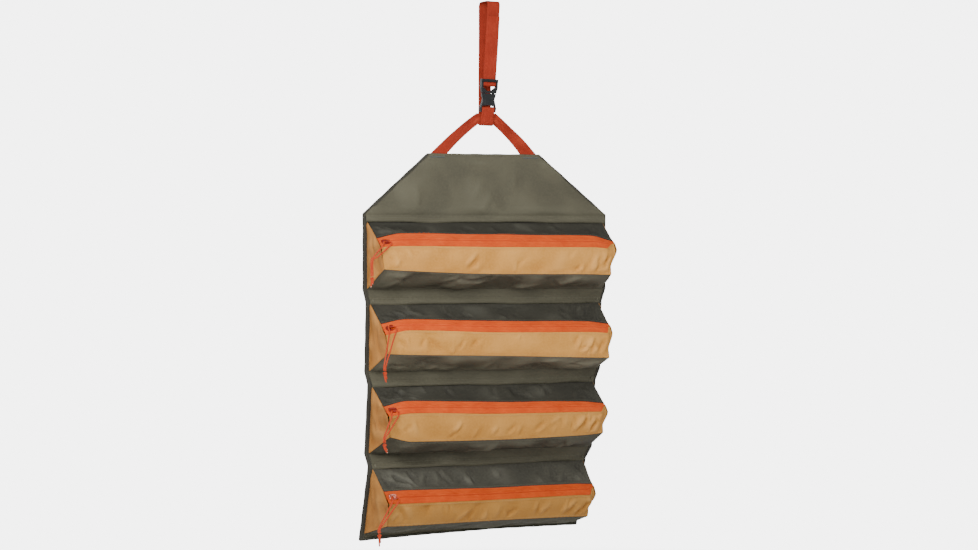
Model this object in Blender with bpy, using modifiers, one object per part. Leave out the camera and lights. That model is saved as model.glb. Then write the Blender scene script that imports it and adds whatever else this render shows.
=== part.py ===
"""Camp kitchen utensil roll, hung up by its strap.

A stiffened fabric panel carries four zipped pockets and hangs from a webbing yoke and a buckled strap.
Metres, +Z up, +X to the right as seen from the front, and the pockets face -Y.
The origin is the inner top of the strap's loop, where the roll hangs.
"""

import math

import bmesh
import bpy
from mathutils import Matrix, Vector

# Gaps between pieces that touch
GAP = 0.0003

# Hanging panel: flat sizes
PANEL_WIDTH = 0.430
PANEL_THICKNESS = 0.0024
HEAD_TOP_WIDTH = 0.1955
SHOULDER_DROP = 0.0975
SHOULDER_TO_FOLD = 0.0101
BOTTOM_HEM = 0.011
FOLD_ANGLE = math.radians(66)
HEAD_LAYER_THICKNESS = 0.001
HEAD_LAYER_INSET = 0.005

# How the panel hangs: each section is flat, and turned about the vertical and leaned back a little
# more than the section above it. The plain strips between the pockets make up the difference.
SECTION_TURNS = (2.0, 5.5, 9.0, 13.0)
SECTION_LEANS = (0.5, 3.0, 6.0, 13.0)
HANG_STEPS = 600

# Pockets: depths are measured forward from the panel, drops down from the pocket's top seam
POCKET_COUNT = 4
POCKET_PITCH = 0.1323
POCKET_BACK_HEIGHT = 0.1088
SEAM_BELOW_FOLD = 0.0024
POCKET_INSET = 0.0061
FOOT_CORNER_INSET = 0.0085
ZIP_TOP_DEPTH = 0.0408
ZIP_TOP_DROP = 0.026
ZIP_FOOT_DEPTH = 0.060
ZIP_FOOT_DROP = 0.042
FRONT_FOOT_DEPTH = 0.0515
FRONT_FOOT_DROP = 0.0815
CLOTH_THICKNESS = 0.001
PANEL_COLUMNS = 8

# Zips
TAPE_THICKNESS = 0.0008
COIL_WIDTH = 0.0028
COIL_DEPTH = 0.0016
ZIP_SLOT = 0.0014
SLIDER_LENGTH = 0.016
SLIDER_WIDTH = 0.011
SLIDER_PLATE = 0.001
SLIDER_WEB = 0.0008
SLIDER_FROM_END = 0.0115
BAIL_WIDTH = 0.005
BAIL_WALL = 0.0011
BAIL_CLEARANCE = 0.0003

# Pull cords: each is a loop through its slider's bail, closed by a knot with a short tail
CORD_DIAMETER = 0.0024
CORD_SAMPLES = 46
CORD_CLEARANCE = 0.0012
CORD_DRIFT_START = 0.0026
KNOT_DIAMETER = 0.0062
KNOT_LENGTH = 0.0085
CORD_DROPS = (0.055, 0.070, 0.049, 0.055)
CORD_DRIFTS = (-0.029, -0.0155, -0.0225, -0.034)
CORD_PLUMB_RUNS = (0.025, 0.007, 0.007, 0.007)
CORD_TAILS = (0.009, 0.010, 0.008, 0.013)

# Webbing
WEBBING_THICKNESS = 0.0016
STRAP_WIDTH = 0.022
STRAP_SIDE_LEAN = math.radians(2.1)
STRAP_TOP_SPREAD = 0.038
STRAP_FOOT_SPREAD = 0.0126
STRAP_TOP_CORNER = 0.007
STRAP_FOOT_CORNER = 0.0038
YOKE_APEX_TOP_DROP = 0.181
YOKE_APEX_HEIGHT = 0.01785
YOKE_APEX_TOP_HALF = 0.017
YOKE_APEX_FOOT_HALF = 0.012
YOKE_FOOT_MIDDLE = 0.0785
YOKE_FOOT_HALF = 0.015
YOKE_BOW = 0.0025
YOKE_SEAT_GAP = 0.00085
YOKE_HEIGHT = 0.067

# Buckle: heights are measured along its own axis, up from the receiver's bar
BUCKLE_ABOVE_YOKE = 0.007
BUCKLE_WIDTH = 0.0287
BUCKLE_THICKNESS = 0.008
BAR_RADIUS = 0.0018
LADDER_HEIGHT = 0.040
FRAME_TOP = 0.0485
FRAME_TOP_BAR = 0.0047
FRAME_BEND = 0.034
MALE_FOOT = 0.0256
RECEIVER_MOUTH = 0.0250
RECEIVER_MOUTH_HALF = 0.0122
RECEIVER_WAIST = 0.0150
RECEIVER_WAIST_HALF = 0.0098
RECEIVER_FOOT = -0.0055
CAVITY_HALF = 0.0103
CAVITY_DEPTH = 0.0046
CAVITY_FOOT = 0.0072
CATCH_HEIGHT = 0.0165
ARM_DEPTH = 0.0038
ARM_ROOT = 0.0268
ARM_TIP = 0.0080
ARM_PIVOT_SIDE = 0.0078
ARM_PIVOT_ROUND = 0.0016
ARM_INNER = 0.0060
ARM_TRAVEL = math.radians(11.7)
RELEASE_TRAVEL = 0.020
STRAP_END_HEIGHT = 0.070
TAIL_BACK_TOP = 0.078
TAIL_FRONT_TOP = 0.151

# Colours, roughness and metallic value of the materials
FINISHES = {
    "olive": ((0.118, 0.113, 0.071), 0.85, 0.0),
    "dark_olive": ((0.055, 0.052, 0.038), 0.8, 0.0),
    "tan": ((0.50, 0.30, 0.115), 0.6, 0.0),
    "zip_orange": ((0.62, 0.11, 0.03), 0.6, 0.0),
    "slider_orange": ((0.55, 0.09, 0.03), 0.3, 0.6),
    "webbing": ((0.48, 0.075, 0.03), 0.75, 0.0),
    "cord": ((0.55, 0.09, 0.035), 0.7, 0.0),
    "buckle": ((0.03, 0.033, 0.036), 0.4, 0.0),
}

HEAD_TOP_DROP = YOKE_APEX_TOP_DROP + YOKE_HEIGHT
STRAP_FOOT_DROP = YOKE_APEX_TOP_DROP + YOKE_APEX_HEIGHT + YOKE_SEAT_GAP + WEBBING_THICKNESS / 2
BUCKLE_BAR_DROP = YOKE_APEX_TOP_DROP - BUCKLE_ABOVE_YOKE
HALF_PANEL = PANEL_WIDTH / 2
HALF_POCKET = HALF_PANEL - POCKET_INSET
FIRST_FOLD = SHOULDER_DROP + SHOULDER_TO_FOLD
PANEL_END = FIRST_FOLD + (POCKET_COUNT - 1) * POCKET_PITCH + SEAM_BELOW_FOLD + POCKET_BACK_HEIGHT + BOTTOM_HEM
ZIP_BAND = math.hypot(ZIP_FOOT_DEPTH - ZIP_TOP_DEPTH, ZIP_FOOT_DROP - ZIP_TOP_DROP)
ZIP_SLOPE = math.atan2(ZIP_FOOT_DROP - ZIP_TOP_DROP, ZIP_FOOT_DEPTH - ZIP_TOP_DEPTH)


def clear_scene():
    for obj in list(bpy.data.objects):
        bpy.data.objects.remove(obj)


def new_collection(name):
    collection = bpy.data.collections.new(name)
    bpy.context.scene.collection.children.link(collection)
    return collection


clear_scene()
PARTS = new_collection("utensil_roll")
CUTTERS = new_collection("cutters")


def finish(name):
    """The Principled material of this name, made on first use."""
    material = bpy.data.materials.get(name)
    if material is None:
        colour, roughness, metallic = FINISHES[name]
        material = bpy.data.materials.new(name)
        material.use_nodes = True
        shader = material.node_tree.nodes["Principled BSDF"]
        shader.inputs["Base Color"].default_value = (*colour, 1)
        shader.inputs["Roughness"].default_value = roughness
        shader.inputs["Metallic"].default_value = metallic
    return material


def add_object(name, data, material=None, parent=None, matrix=None, collection=None):
    obj = bpy.data.objects.new(name, data)
    (collection or PARTS).objects.link(obj)
    if material:
        obj.data.materials.append(finish(material).copy())
    obj.parent = parent
    if matrix is not None:
        obj.matrix_local = matrix
    return obj


def add_empty(name, matrix=None, parent=None):
    return add_object(name, None, parent=parent, matrix=matrix)


def mesh_from(name, bm):
    bmesh.ops.recalc_face_normals(bm, faces=bm.faces)
    if bm.calc_volume(signed=True) < 0:
        bmesh.ops.reverse_faces(bm, faces=bm.faces)
    mesh = bpy.data.meshes.new(name)
    bm.to_mesh(mesh)
    bm.free()
    return mesh


# How the panel hangs


def hang_curve():
    """The panel's middle line, from the middle of its top edge down: (drop, turn, lean, point) at even steps."""
    side = -APEX_DROP * math.sin(STRAP_SIDE_LEAN)
    point = Vector((side, -PANEL_THICKNESS / 2, -HEAD_TOP_DROP))
    step = PANEL_END / HANG_STEPS
    rows = []
    for i in range(HANG_STEPS + 1):
        turn, lean = hang_angles(i * step)
        rows.append((turn, lean, point.copy()))
        turn, lean = hang_angles((i + 0.5) * step)
        point += step * (panel_turn(turn, lean) @ Vector((0, 0, -1)))
    return rows


def hang_angles(drop):
    """The panel's turn and lean at this drop: even on each pocket's section, blended on the plain strip above it."""
    start, turn, lean = 0.0, 0.0, 0.0
    for number in range(POCKET_COUNT):
        top = FIRST_FOLD + number * POCKET_PITCH
        next_turn = math.radians(SECTION_TURNS[number])
        next_lean = math.radians(SECTION_LEANS[number])
        if drop < top:
            share = max(drop - start, 0) / (top - start)
            return turn + share * (next_turn - turn), lean + share * (next_lean - lean)
        start, turn, lean = top + SEAM_BELOW_FOLD + POCKET_BACK_HEIGHT, next_turn, next_lean
    return turn, lean


def panel_turn(turn, lean):
    return Matrix.Rotation(turn, 3, "Z") @ Matrix.Rotation(lean, 3, "X")


def hang_frame(side, depth, drop):
    """The frame at a place on the hanging panel: X to the right, Y to the back, Z up along the panel."""
    at = min(max(drop / PANEL_END * HANG_STEPS, 0), HANG_STEPS - 1e-6)
    low = int(at)
    rotation = panel_turn(*hang_angles(drop))
    point = CURVE[low][2].lerp(CURVE[low + 1][2], at - low) + rotation @ Vector((side, -depth, 0))
    return Matrix.Translation(point) @ rotation.to_4x4()


def hang(side, depth, drop):
    return hang_frame(side, depth, drop).translation


APEX_DROP = YOKE_APEX_TOP_DROP + YOKE_APEX_HEIGHT / 2
CURVE = hang_curve()


# Fabric pieces


def cross_strip(name, outline, material, columns=PANEL_COLUMNS, parent=None):
    """A strip that runs across the panel from its left end to its right end.

    outline is its cross-section: (depth, drop, half width) points in order. It is drawn at the left end and
    extruded to the right in even columns, and then hung.
    """
    bm = bmesh.new()
    bmesh.ops.create_circle(bm, cap_ends=True, radius=0.01, segments=len(outline))
    bm.verts.ensure_lookup_table()
    ring = list(bm.verts)
    for vert, (depth, drop, half) in zip(ring, outline):
        vert.co = (-half, depth, drop)
    face = bm.faces[:]
    for column in range(1, columns + 1):
        share = 2 * column / columns - 1
        made = bmesh.ops.extrude_face_region(bm, geom=face)["geom"]
        verts = [item for item in made if isinstance(item, bmesh.types.BMVert)]
        if column > 1:
            bmesh.ops.delete(bm, geom=face, context="FACES_ONLY")
        face = [item for item in made if isinstance(item, bmesh.types.BMFace)]
        for vert in verts:
            depth, drop = vert.co.y, vert.co.z
            half = min(outline, key=lambda p: math.hypot(p[0] - depth, p[1] - drop))[2]
            vert.co.x = share * half
    hang_points(bm)
    return add_object(name, mesh_from(name, bm), material, parent)


def hang_points(bm):
    for vert in bm.verts:
        side, depth, drop = vert.co
        vert.co = hang(side, depth, drop)


def sheet_outline(start, end, thickness, start_half, end_half):
    """The cross-section of a cloth from start to end, both (depth, drop), with its thickness on the outside."""
    along = Vector((end[0] - start[0], end[1] - start[1])).normalized()
    inset = along * GAP / 2
    out = Vector((along.y, -along.x)) * thickness
    a = Vector(start) + inset
    b = Vector(end) - inset
    return [(*a, start_half), (*(a + out), start_half), (*(b + out), end_half), (*b, end_half)]


def fold_half_gap(depth_share):
    """Half the width of the groove at a fold, at this share of the panel's thickness from its middle."""
    return GAP / 2 + depth_share * PANEL_THICKNESS / 2 * math.tan(FOLD_ANGLE / 2)


def back_panel(name, top, foot, seams, half_at, last=False, parent=None):
    """A length of the panel between two folds. Its ends are bevelled to the fold, so that it can turn both ways."""
    groove = fold_half_gap(1)
    slit = fold_half_gap(0)
    first = top == 0
    face = [top + (0 if first else groove)] + list(seams) + [foot - (0 if last else groove)]
    outline = [(0, drop) for drop in face]
    if not last:
        outline.append((-PANEL_THICKNESS / 2, foot - slit))
    outline += [(-PANEL_THICKNESS, drop) for drop in reversed(face)]
    if not first:
        outline.append((-PANEL_THICKNESS / 2, top + slit))
    return cross_strip(name, [(depth, drop, half_at(drop)) for depth, drop in outline], "olive", parent=parent)


def head_half(drop):
    share = min(drop / SHOULDER_DROP, 1)
    return HEAD_TOP_WIDTH / 2 + share * (HALF_PANEL - HEAD_TOP_WIDTH / 2)


def pocket_corners(seam):
    """The pocket's cross-section corners as (depth, drop): top seam, zip top, zip foot, front foot, bottom seam."""
    return [
        (GAP, seam),
        (ZIP_TOP_DEPTH, seam + ZIP_TOP_DROP),
        (ZIP_FOOT_DEPTH, seam + ZIP_FOOT_DROP),
        (FRONT_FOOT_DEPTH, seam + FRONT_FOOT_DROP),
        (GAP, seam + POCKET_BACK_HEIGHT),
    ]


def gusset(name, corners, hand, parent):
    """The pocket's end wall: a five-cornered cloth that closes the pocket's side, drawn in at the front foot."""
    bm = bmesh.new()
    bmesh.ops.create_circle(bm, cap_ends=True, radius=0.01, segments=len(corners))
    bm.verts.ensure_lookup_table()
    insets = (0, 0, 0, FOOT_CORNER_INSET, 0)
    for vert, (depth, drop), inset in zip(bm.verts, corners, insets):
        vert.co = (hand * (HALF_POCKET + GAP - inset), depth, drop)
    bmesh.ops.poke(bm, faces=bm.faces[:])
    made = bmesh.ops.extrude_face_region(bm, geom=bm.faces[:])["geom"]
    verts = [item for item in made if isinstance(item, bmesh.types.BMVert)]
    bmesh.ops.translate(bm, vec=(hand * CLOTH_THICKNESS, 0, 0), verts=verts)
    hang_points(bm)
    return add_object(name, mesh_from(name, bm), "tan", parent)


def zip_point(seam, along, out):
    """(depth, drop) at this distance down the zip's band from its top edge, and out from its inner face."""
    depth = ZIP_TOP_DEPTH + along * math.cos(ZIP_SLOPE) + out * math.sin(ZIP_SLOPE)
    drop = seam + ZIP_TOP_DROP + along * math.sin(ZIP_SLOPE) - out * math.cos(ZIP_SLOPE)
    return depth, drop


def zip_tape(name, seam, upper, parent):
    """Half of the zip: a flat tape outside with half of the coil behind its inner edge."""
    edge = ZIP_BAND / 2 - ZIP_SLOT / 2
    corners = (
        (GAP, 0),
        (GAP, TAPE_THICKNESS),
        (edge, TAPE_THICKNESS),
        (edge, -COIL_DEPTH),
        (edge - COIL_WIDTH, -COIL_DEPTH),
        (edge - COIL_WIDTH, 0),
    )
    outline = []
    for along, out in corners:
        place = along if upper else ZIP_BAND - along
        outline.append((*zip_point(seam, place, out), HALF_POCKET))
    return cross_strip(name, outline, "zip_orange", parent=parent)


# Outlines, ribbons and round bars


def extruded(name, outline, thickness, material, parent=None, matrix=None, holes=(), collection=None):
    """A flat outline of (x, z) points, with holes, made this thick along Y. It becomes a mesh."""
    curve = bpy.data.curves.new(name, "CURVE")
    curve.dimensions = "2D"
    curve.fill_mode = "BOTH"
    curve.extrude = thickness / 2
    for points in (outline, *holes):
        spline = curve.splines.new("POLY")
        spline.points.add(len(points) - 1)
        for place, (x, z) in zip(spline.points, points):
            place.co = (x, z, 0, 1)
        spline.use_cyclic_u = True
    mesh = solid_mesh(name, curve)
    mesh.transform(Matrix.Rotation(math.pi / 2, 4, "X"))
    return add_object(name, mesh, material, parent, matrix, collection)


def solid_mesh(name, curve):
    """The curve as a closed mesh, with its caps welded on."""
    guide = bpy.data.objects.new(name + "_guide", curve)
    bpy.context.scene.collection.objects.link(guide)
    graph = bpy.context.evaluated_depsgraph_get()
    made = bpy.data.meshes.new_from_object(guide.evaluated_get(graph))
    bpy.data.objects.remove(guide)
    bm = bmesh.new()
    bm.from_mesh(made)
    bmesh.ops.remove_doubles(bm, verts=bm.verts, dist=1e-6)
    mesh = mesh_from(name, bm)
    mesh.materials.clear()
    return mesh


def arc(middle, radius, start, end, steps):
    """Points on an arc in the (y, z) plane, from one angle to another, in degrees from +y towards +z."""
    angles = [math.radians(start + (end - start) * i / steps) for i in range(steps + 1)]
    return [(middle[0] + radius * math.cos(a), middle[1] + radius * math.sin(a)) for a in angles]


def ribbon(name, path, width, material, parent):
    """Webbing that follows a path of (y, z) points, its width along X."""
    bm = bmesh.new()
    bmesh.ops.create_grid(bm, x_segments=1, y_segments=len(path) - 1, size=0.5)
    for vert in bm.verts:
        row = round((vert.co.y + 0.5) * (len(path) - 1))
        vert.co = (vert.co.x * width, *path[row])
    mesh = bpy.data.meshes.new(name)
    bm.to_mesh(mesh)
    bm.free()
    obj = add_object(name, mesh, material, parent)
    solid = obj.modifiers.new("webbing", "SOLIDIFY")
    solid.thickness = WEBBING_THICKNESS
    solid.offset = 0
    solid.use_even_offset = True
    return obj


def round_bar(name, radius, length, matrix=None, parent=None):
    """A bar along X, for a union."""
    bm = bmesh.new()
    bmesh.ops.create_cone(
        bm,
        cap_ends=True,
        segments=16,
        radius1=radius,
        radius2=radius,
        depth=length,
        matrix=Matrix.Rotation(math.pi / 2, 4, "Y"),
    )
    return helper(name, bm, matrix, parent)


def block(name, size, middle, parent=None):
    """A box, for a cut or a union."""
    bm = bmesh.new()
    bmesh.ops.create_cube(bm, size=1, matrix=Matrix.Translation(middle) @ Matrix.Diagonal((*size, 1)))
    return helper(name, bm, None, parent)


def helper(name, bm, matrix, parent):
    obj = add_object(name, mesh_from(name, bm), parent=parent, matrix=matrix, collection=CUTTERS)
    obj.hide_render = True
    obj.display_type = "WIRE"
    return obj


def combine(obj, other, operation):
    change = obj.modifiers.new(other.name, "BOOLEAN")
    change.operation = operation
    change.object = other
    change.solver = "EXACT"


def smooth_tube(points, samples):
    """Points at even steps along a smooth curve through the route's points."""
    knots = [points[0]] + list(points) + [points[-1]]
    fine = []
    for a, b, c, d in zip(knots, knots[1:], knots[2:], knots[3:]):
        for i in range(12):
            t = i / 12
            fine.append(0.5 * (2 * b + (c - a) * t + (2 * a - 5 * b + 4 * c - d) * t**2 + (3 * b - a - 3 * c + d) * t**3))
    fine.append(points[-1])
    lengths = [0.0]
    for a, b in zip(fine, fine[1:]):
        lengths.append(lengths[-1] + (b - a).length)
    even = []
    at = 0
    for i in range(samples):
        want = lengths[-1] * i / (samples - 1)
        while at < len(lengths) - 2 and lengths[at + 1] < want:
            at += 1
        part = (want - lengths[at]) / max(lengths[at + 1] - lengths[at], 1e-9)
        even.append(fine[at].lerp(fine[at + 1], part))
    return even


def tube_curve(name, points, diameter):
    curve = bpy.data.curves.new(name, "CURVE")
    curve.dimensions = "3D"
    curve.bevel_depth = diameter / 2
    curve.bevel_resolution = 2
    curve.use_fill_caps = True
    spline = curve.splines.new("POLY")
    spline.points.add(len(points) - 1)
    for place, point in zip(spline.points, points):
        place.co = (*point, 1)
    return curve


# The strap and its buckle

STRAP = add_empty("strap_frame", Matrix.Rotation(STRAP_SIDE_LEAN, 4, "Y"))
RUN_TOP_DROP = STRAP_TOP_CORNER - WEBBING_THICKNESS / 2
BUCKLE_BACK = -STRAP_FOOT_SPREAD / 2
BUCKLE_TILT = math.atan2(STRAP_TOP_SPREAD / 2 + BUCKLE_BACK, BUCKLE_BAR_DROP - RUN_TOP_DROP)
BUCKLE = add_empty(
    "buckle_frame",
    Matrix.Translation((0, BUCKLE_BACK, -BUCKLE_BAR_DROP)) @ Matrix.Rotation(BUCKLE_TILT, 4, "X"),
    STRAP,
)
WRAP_RADIUS = BAR_RADIUS + GAP + WEBBING_THICKNESS / 2


def buckle_place(back, height):
    """A (y, z) place in the strap's frame from one in the buckle's."""
    y = BUCKLE_BACK + back * math.cos(BUCKLE_TILT) - height * math.sin(BUCKLE_TILT)
    z = -BUCKLE_BAR_DROP + back * math.sin(BUCKLE_TILT) + height * math.cos(BUCKLE_TILT)
    return y, z


def hanging_strap():
    """One length of webbing: round the receiver's bar, under the yoke, up the back, over the top and down the front."""
    foot = STRAP_FOOT_SPREAD / 2
    top = STRAP_TOP_SPREAD / 2
    corner = STRAP_FOOT_CORNER
    wrap = [buckle_place(*point) for point in arc((0, 0), WRAP_RADIUS, 0, 180, 8)]
    path = [buckle_place(WRAP_RADIUS, -0.006)] + wrap
    path += [(-foot, -BUCKLE_BAR_DROP - 0.014)]
    path += arc((-foot + corner, -STRAP_FOOT_DROP + corner), corner, 180, 270, 4)
    path += arc((foot - corner, -STRAP_FOOT_DROP + corner), corner, 270, 360, 4)
    path += [(foot, -YOKE_APEX_TOP_DROP - 0.002)]
    rise = STRAP_TOP_CORNER
    crown = WEBBING_THICKNESS / 2 - rise
    path += arc((top - rise, crown), rise, 0, 90, 5)
    path += arc((-top + rise, crown), rise, 90, 180, 5)
    path += [buckle_place(0, STRAP_END_HEIGHT)]
    return ribbon("hanging_strap", path, STRAP_WIDTH, "webbing", STRAP)


def strap_tail():
    """The strap's free end: it turns round the ladder bar, short behind the front run and long in front of it."""
    layer = WEBBING_THICKNESS + GAP
    turn = arc((0, LADDER_HEIGHT), WRAP_RADIUS, 0, -180, 8)
    neck = LADDER_HEIGHT + 2 * BAR_RADIUS
    path = [(layer, TAIL_BACK_TOP), (layer, neck)] + turn + [(-layer, neck), (-layer, TAIL_FRONT_TOP)]
    return ribbon("strap_tail", path, STRAP_WIDTH, "webbing", BUCKLE)


def mirrored(right_side):
    """A closed outline from its right side, listed from the top to the foot."""
    return right_side + [(-x, z) for x, z in reversed(right_side)]


def buckle_receiver():
    """The buckle's lower half: a waisted shell with a mouth for the arms, and two legs with the webbing's bar."""
    leg = BUCKLE_WIDTH / 2 - 0.0006
    outline = mirrored([
        (RECEIVER_MOUTH_HALF, RECEIVER_MOUTH),
        (RECEIVER_WAIST_HALF, RECEIVER_WAIST),
        (leg, 0.001),
        (leg - 0.001, RECEIVER_FOOT),
        (STRAP_WIDTH / 2 + GAP, RECEIVER_FOOT),
        (STRAP_WIDTH / 2 + GAP, 0.0043),
        (0.0035, 0.0058),
    ])
    obj = extruded("buckle_receiver", outline, BUCKLE_THICKNESS, "buckle", BUCKLE)
    height = RECEIVER_MOUTH - CAVITY_FOOT + 0.002
    middle = (0, 0, CAVITY_FOOT + height / 2)
    combine(obj, block("mouth_cutter", (2 * CAVITY_HALF, CAVITY_DEPTH, height), middle, BUCKLE), "DIFFERENCE")
    height = CATCH_HEIGHT + 2 * GAP - CAVITY_FOOT
    middle = (0, 0, CAVITY_FOOT + height / 2)
    combine(obj, block("side_cutter", (2 * BUCKLE_WIDTH, CAVITY_DEPTH, height), middle, BUCKLE), "DIFFERENCE")
    combine(obj, round_bar("receiver_bar", BAR_RADIUS, STRAP_WIDTH + 0.003, parent=BUCKLE), "UNION")
    return obj


def buckle_adjuster():
    """The buckle's upper half: a frame with the ladder bar, drawn in to the foot that carries the two arms."""
    half = BUCKLE_WIDTH / 2
    window = STRAP_WIDTH / 2 + GAP
    outline = mirrored([
        (half, FRAME_TOP),
        (half, FRAME_BEND),
        (RECEIVER_MOUTH_HALF, MALE_FOOT),
    ])
    wrap_foot = LADDER_HEIGHT - WRAP_RADIUS - WEBBING_THICKNESS / 2 - GAP
    opening = mirrored([
        (window, FRAME_TOP + 0.002),
        (window, wrap_foot - 0.0006),
        (0.004, MALE_FOOT + 0.0035),
    ])
    obj = extruded("buckle_adjuster", outline, BUCKLE_THICKNESS, "buckle", BUCKLE)
    cutter = extruded("window_cutter", opening, BUCKLE_THICKNESS + 0.004, None, BUCKLE, collection=CUTTERS)
    cutter.hide_render = True
    cutter.display_type = "WIRE"
    combine(obj, cutter, "DIFFERENCE")
    slot = ARM_DEPTH + 2 * GAP
    notch_height = ARM_ROOT - MALE_FOOT + ARM_PIVOT_ROUND + GAP + 0.001
    for hand in (-1, 1):
        middle = (hand * ARM_PIVOT_SIDE, 0, MALE_FOOT - 0.001 + notch_height / 2)
        size = (2 * (ARM_PIVOT_ROUND + 2 * GAP), slot, notch_height)
        combine(obj, block(f"arm_notch_{hand}", size, middle, BUCKLE), "DIFFERENCE")
    front = BUCKLE_THICKNESS / 2 + 0.0006
    back = WEBBING_THICKNESS * 1.5 + 2 * GAP
    middle = (0, -(front + back) / 2, FRAME_TOP - FRAME_TOP_BAR / 2)
    size = (BUCKLE_WIDTH, front - back, FRAME_TOP_BAR)
    combine(obj, block("frame_top_bar", size, middle, BUCKLE), "UNION")
    place = Matrix.Translation((0, 0, LADDER_HEIGHT))
    combine(obj, round_bar("ladder_bar", BAR_RADIUS, STRAP_WIDTH + 0.003, place, BUCKLE), "UNION")
    return obj


def arm_edge(height):
    """How far out an arm's outer edge may stand, so that it swings clear of the mouth as the buckle is drawn out."""
    swing = ARM_TRAVEL / RELEASE_TRAVEL
    return CAVITY_HALF - GAP + swing * max(CATCH_HEIGHT - height, 0) * (ARM_ROOT - height)


def buckle_arm(name, hand):
    """A springy side arm. Its origin is its root, where it bends."""
    heights = [ARM_TIP + (RECEIVER_MOUTH - ARM_TIP) * i / 5 for i in range(5, -1, -1)]
    outer = [(arm_edge(h) - ARM_PIVOT_SIDE, h - ARM_ROOT) for h in heights]
    neck = MALE_FOOT - ARM_ROOT + 0.0004
    outline = [(ARM_PIVOT_ROUND, neck)] + outer
    outline += [(outer[-1][0] - 0.0012, outer[-1][1] - 0.0008)]
    outline += [(ARM_INNER - ARM_PIVOT_SIDE + 0.0006, ARM_TIP - ARM_ROOT)]
    outline += [(-ARM_PIVOT_ROUND, neck - 0.002), (-ARM_PIVOT_ROUND, neck)]
    outline += [(ARM_PIVOT_ROUND * x, ARM_PIVOT_ROUND * z) for x, z in arc((0, 0), 1, 180, 0, 6)]
    outline = [(hand * x, z) for x, z in outline]
    place = Matrix.Translation((hand * ARM_PIVOT_SIDE, 0, ARM_ROOT))
    return extruded(name, outline, ARM_DEPTH, "buckle", BUCKLE, place)


# The yoke and the head


def yoke_webbing():
    """The webbing yoke: two arms from the head's top edge up to the band that hangs in the strap."""
    foot = -HEAD_TOP_DROP + GAP
    apex_top = -YOKE_APEX_TOP_DROP
    apex_foot = -YOKE_APEX_TOP_DROP - YOKE_APEX_HEIGHT
    outer_foot = Vector((YOKE_FOOT_MIDDLE + YOKE_FOOT_HALF, foot))
    inner_foot = Vector((YOKE_FOOT_MIDDLE - YOKE_FOOT_HALF, foot))
    outer = bowed(Vector((YOKE_APEX_TOP_HALF, apex_top)), outer_foot)
    inner = bowed(inner_foot, Vector((YOKE_APEX_FOOT_HALF, apex_foot)), -1)
    side = -APEX_DROP * math.sin(STRAP_SIDE_LEAN)
    return extruded(
        "yoke_webbing",
        mirrored(outer + inner),
        WEBBING_THICKNESS,
        "webbing",
        matrix=Matrix.Translation((side, 0, 0)),
    )


def bowed(start, end, hand=1):
    """A slightly bowed edge between two points."""
    along = (end - start).normalized()
    out = Vector((-along.y, along.x)) * YOKE_BOW * hand
    points = []
    for i in range(7):
        t = i / 6
        points.append(tuple(start.lerp(end, t) + out * 4 * t * (1 - t)))
    return points


def head():
    seams = (SHOULDER_DROP / 3, SHOULDER_DROP * 2 / 3, SHOULDER_DROP)
    back_panel("head_back_panel", 0, FIRST_FOLD, seams, head_half)
    near, far = GAP, GAP + HEAD_LAYER_THICKNESS
    top = HEAD_LAYER_INSET
    foot = FIRST_FOLD - HEAD_LAYER_INSET
    rows = (top, SHOULDER_DROP / 3, SHOULDER_DROP * 2 / 3, SHOULDER_DROP, foot)
    outline = [(far, drop, head_half(drop) - HEAD_LAYER_INSET) for drop in rows]
    outline += [(near, drop, head_half(drop) - HEAD_LAYER_INSET) for drop in reversed(rows)]
    cross_strip("head_front_panel", outline, "olive")


# The sections with their pockets


def pocket(number):
    """One section of the panel with its pocket, zip and pull."""
    top = FIRST_FOLD + (number - 1) * POCKET_PITCH
    seam = top + SEAM_BELOW_FOLD
    last = number == POCKET_COUNT
    foot = PANEL_END if last else top + POCKET_PITCH
    low_seam = seam + POCKET_BACK_HEIGHT
    strip = foot - low_seam
    rows = (seam, low_seam, low_seam + strip / 3, low_seam + strip * 2 / 3)
    back_panel(f"back_panel_{number}", top, foot, rows, lambda drop: HALF_PANEL, last)
    corners = pocket_corners(seam)
    wide = HALF_POCKET
    narrow = HALF_POCKET - FOOT_CORNER_INSET
    pieces = (
        ("upper_panel", 0, 1, "dark_olive", wide, wide),
        ("front_panel", 2, 3, "tan", wide, narrow),
        ("lower_panel", 3, 4, "dark_olive", narrow, wide),
    )
    for label, a, b, material, start_half, end_half in pieces:
        outline = sheet_outline(corners[a], corners[b], CLOTH_THICKNESS, start_half, end_half)
        cross_strip(f"pocket_{number}_{label}", outline, material)
    gusset(f"pocket_{number}_left_gusset", corners, -1, None)
    gusset(f"pocket_{number}_right_gusset", corners, 1, None)
    zip_tape(f"zipper_{number}_upper_tape", seam, True, None)
    zip_tape(f"zipper_{number}_lower_tape", seam, False, None)
    depth, drop = zip_point(seam, ZIP_BAND / 2, 0)
    side = -HALF_POCKET + SLIDER_FROM_END
    frame = hang_frame(side, depth, drop) @ Matrix.Rotation(ZIP_SLOPE - math.pi / 2, 4, "X")
    slider_frame = add_empty(f"zipper_{number}_slider_frame", frame)
    slider(f"zipper_{number}_slider", slider_frame)
    pull(number, frame)


PLATE_UNDER = TAPE_THICKNESS + GAP
BAIL_OUT = PLATE_UNDER + SLIDER_PLATE + BAIL_CLEARANCE + CORD_DIAMETER / 2
BAIL_REACH = CORD_DIAMETER / 2 + BAIL_CLEARANCE + BAIL_WALL
BAIL_AXIS = (0, -BAIL_OUT, ZIP_SLOT / 4 - BAIL_REACH)


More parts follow.
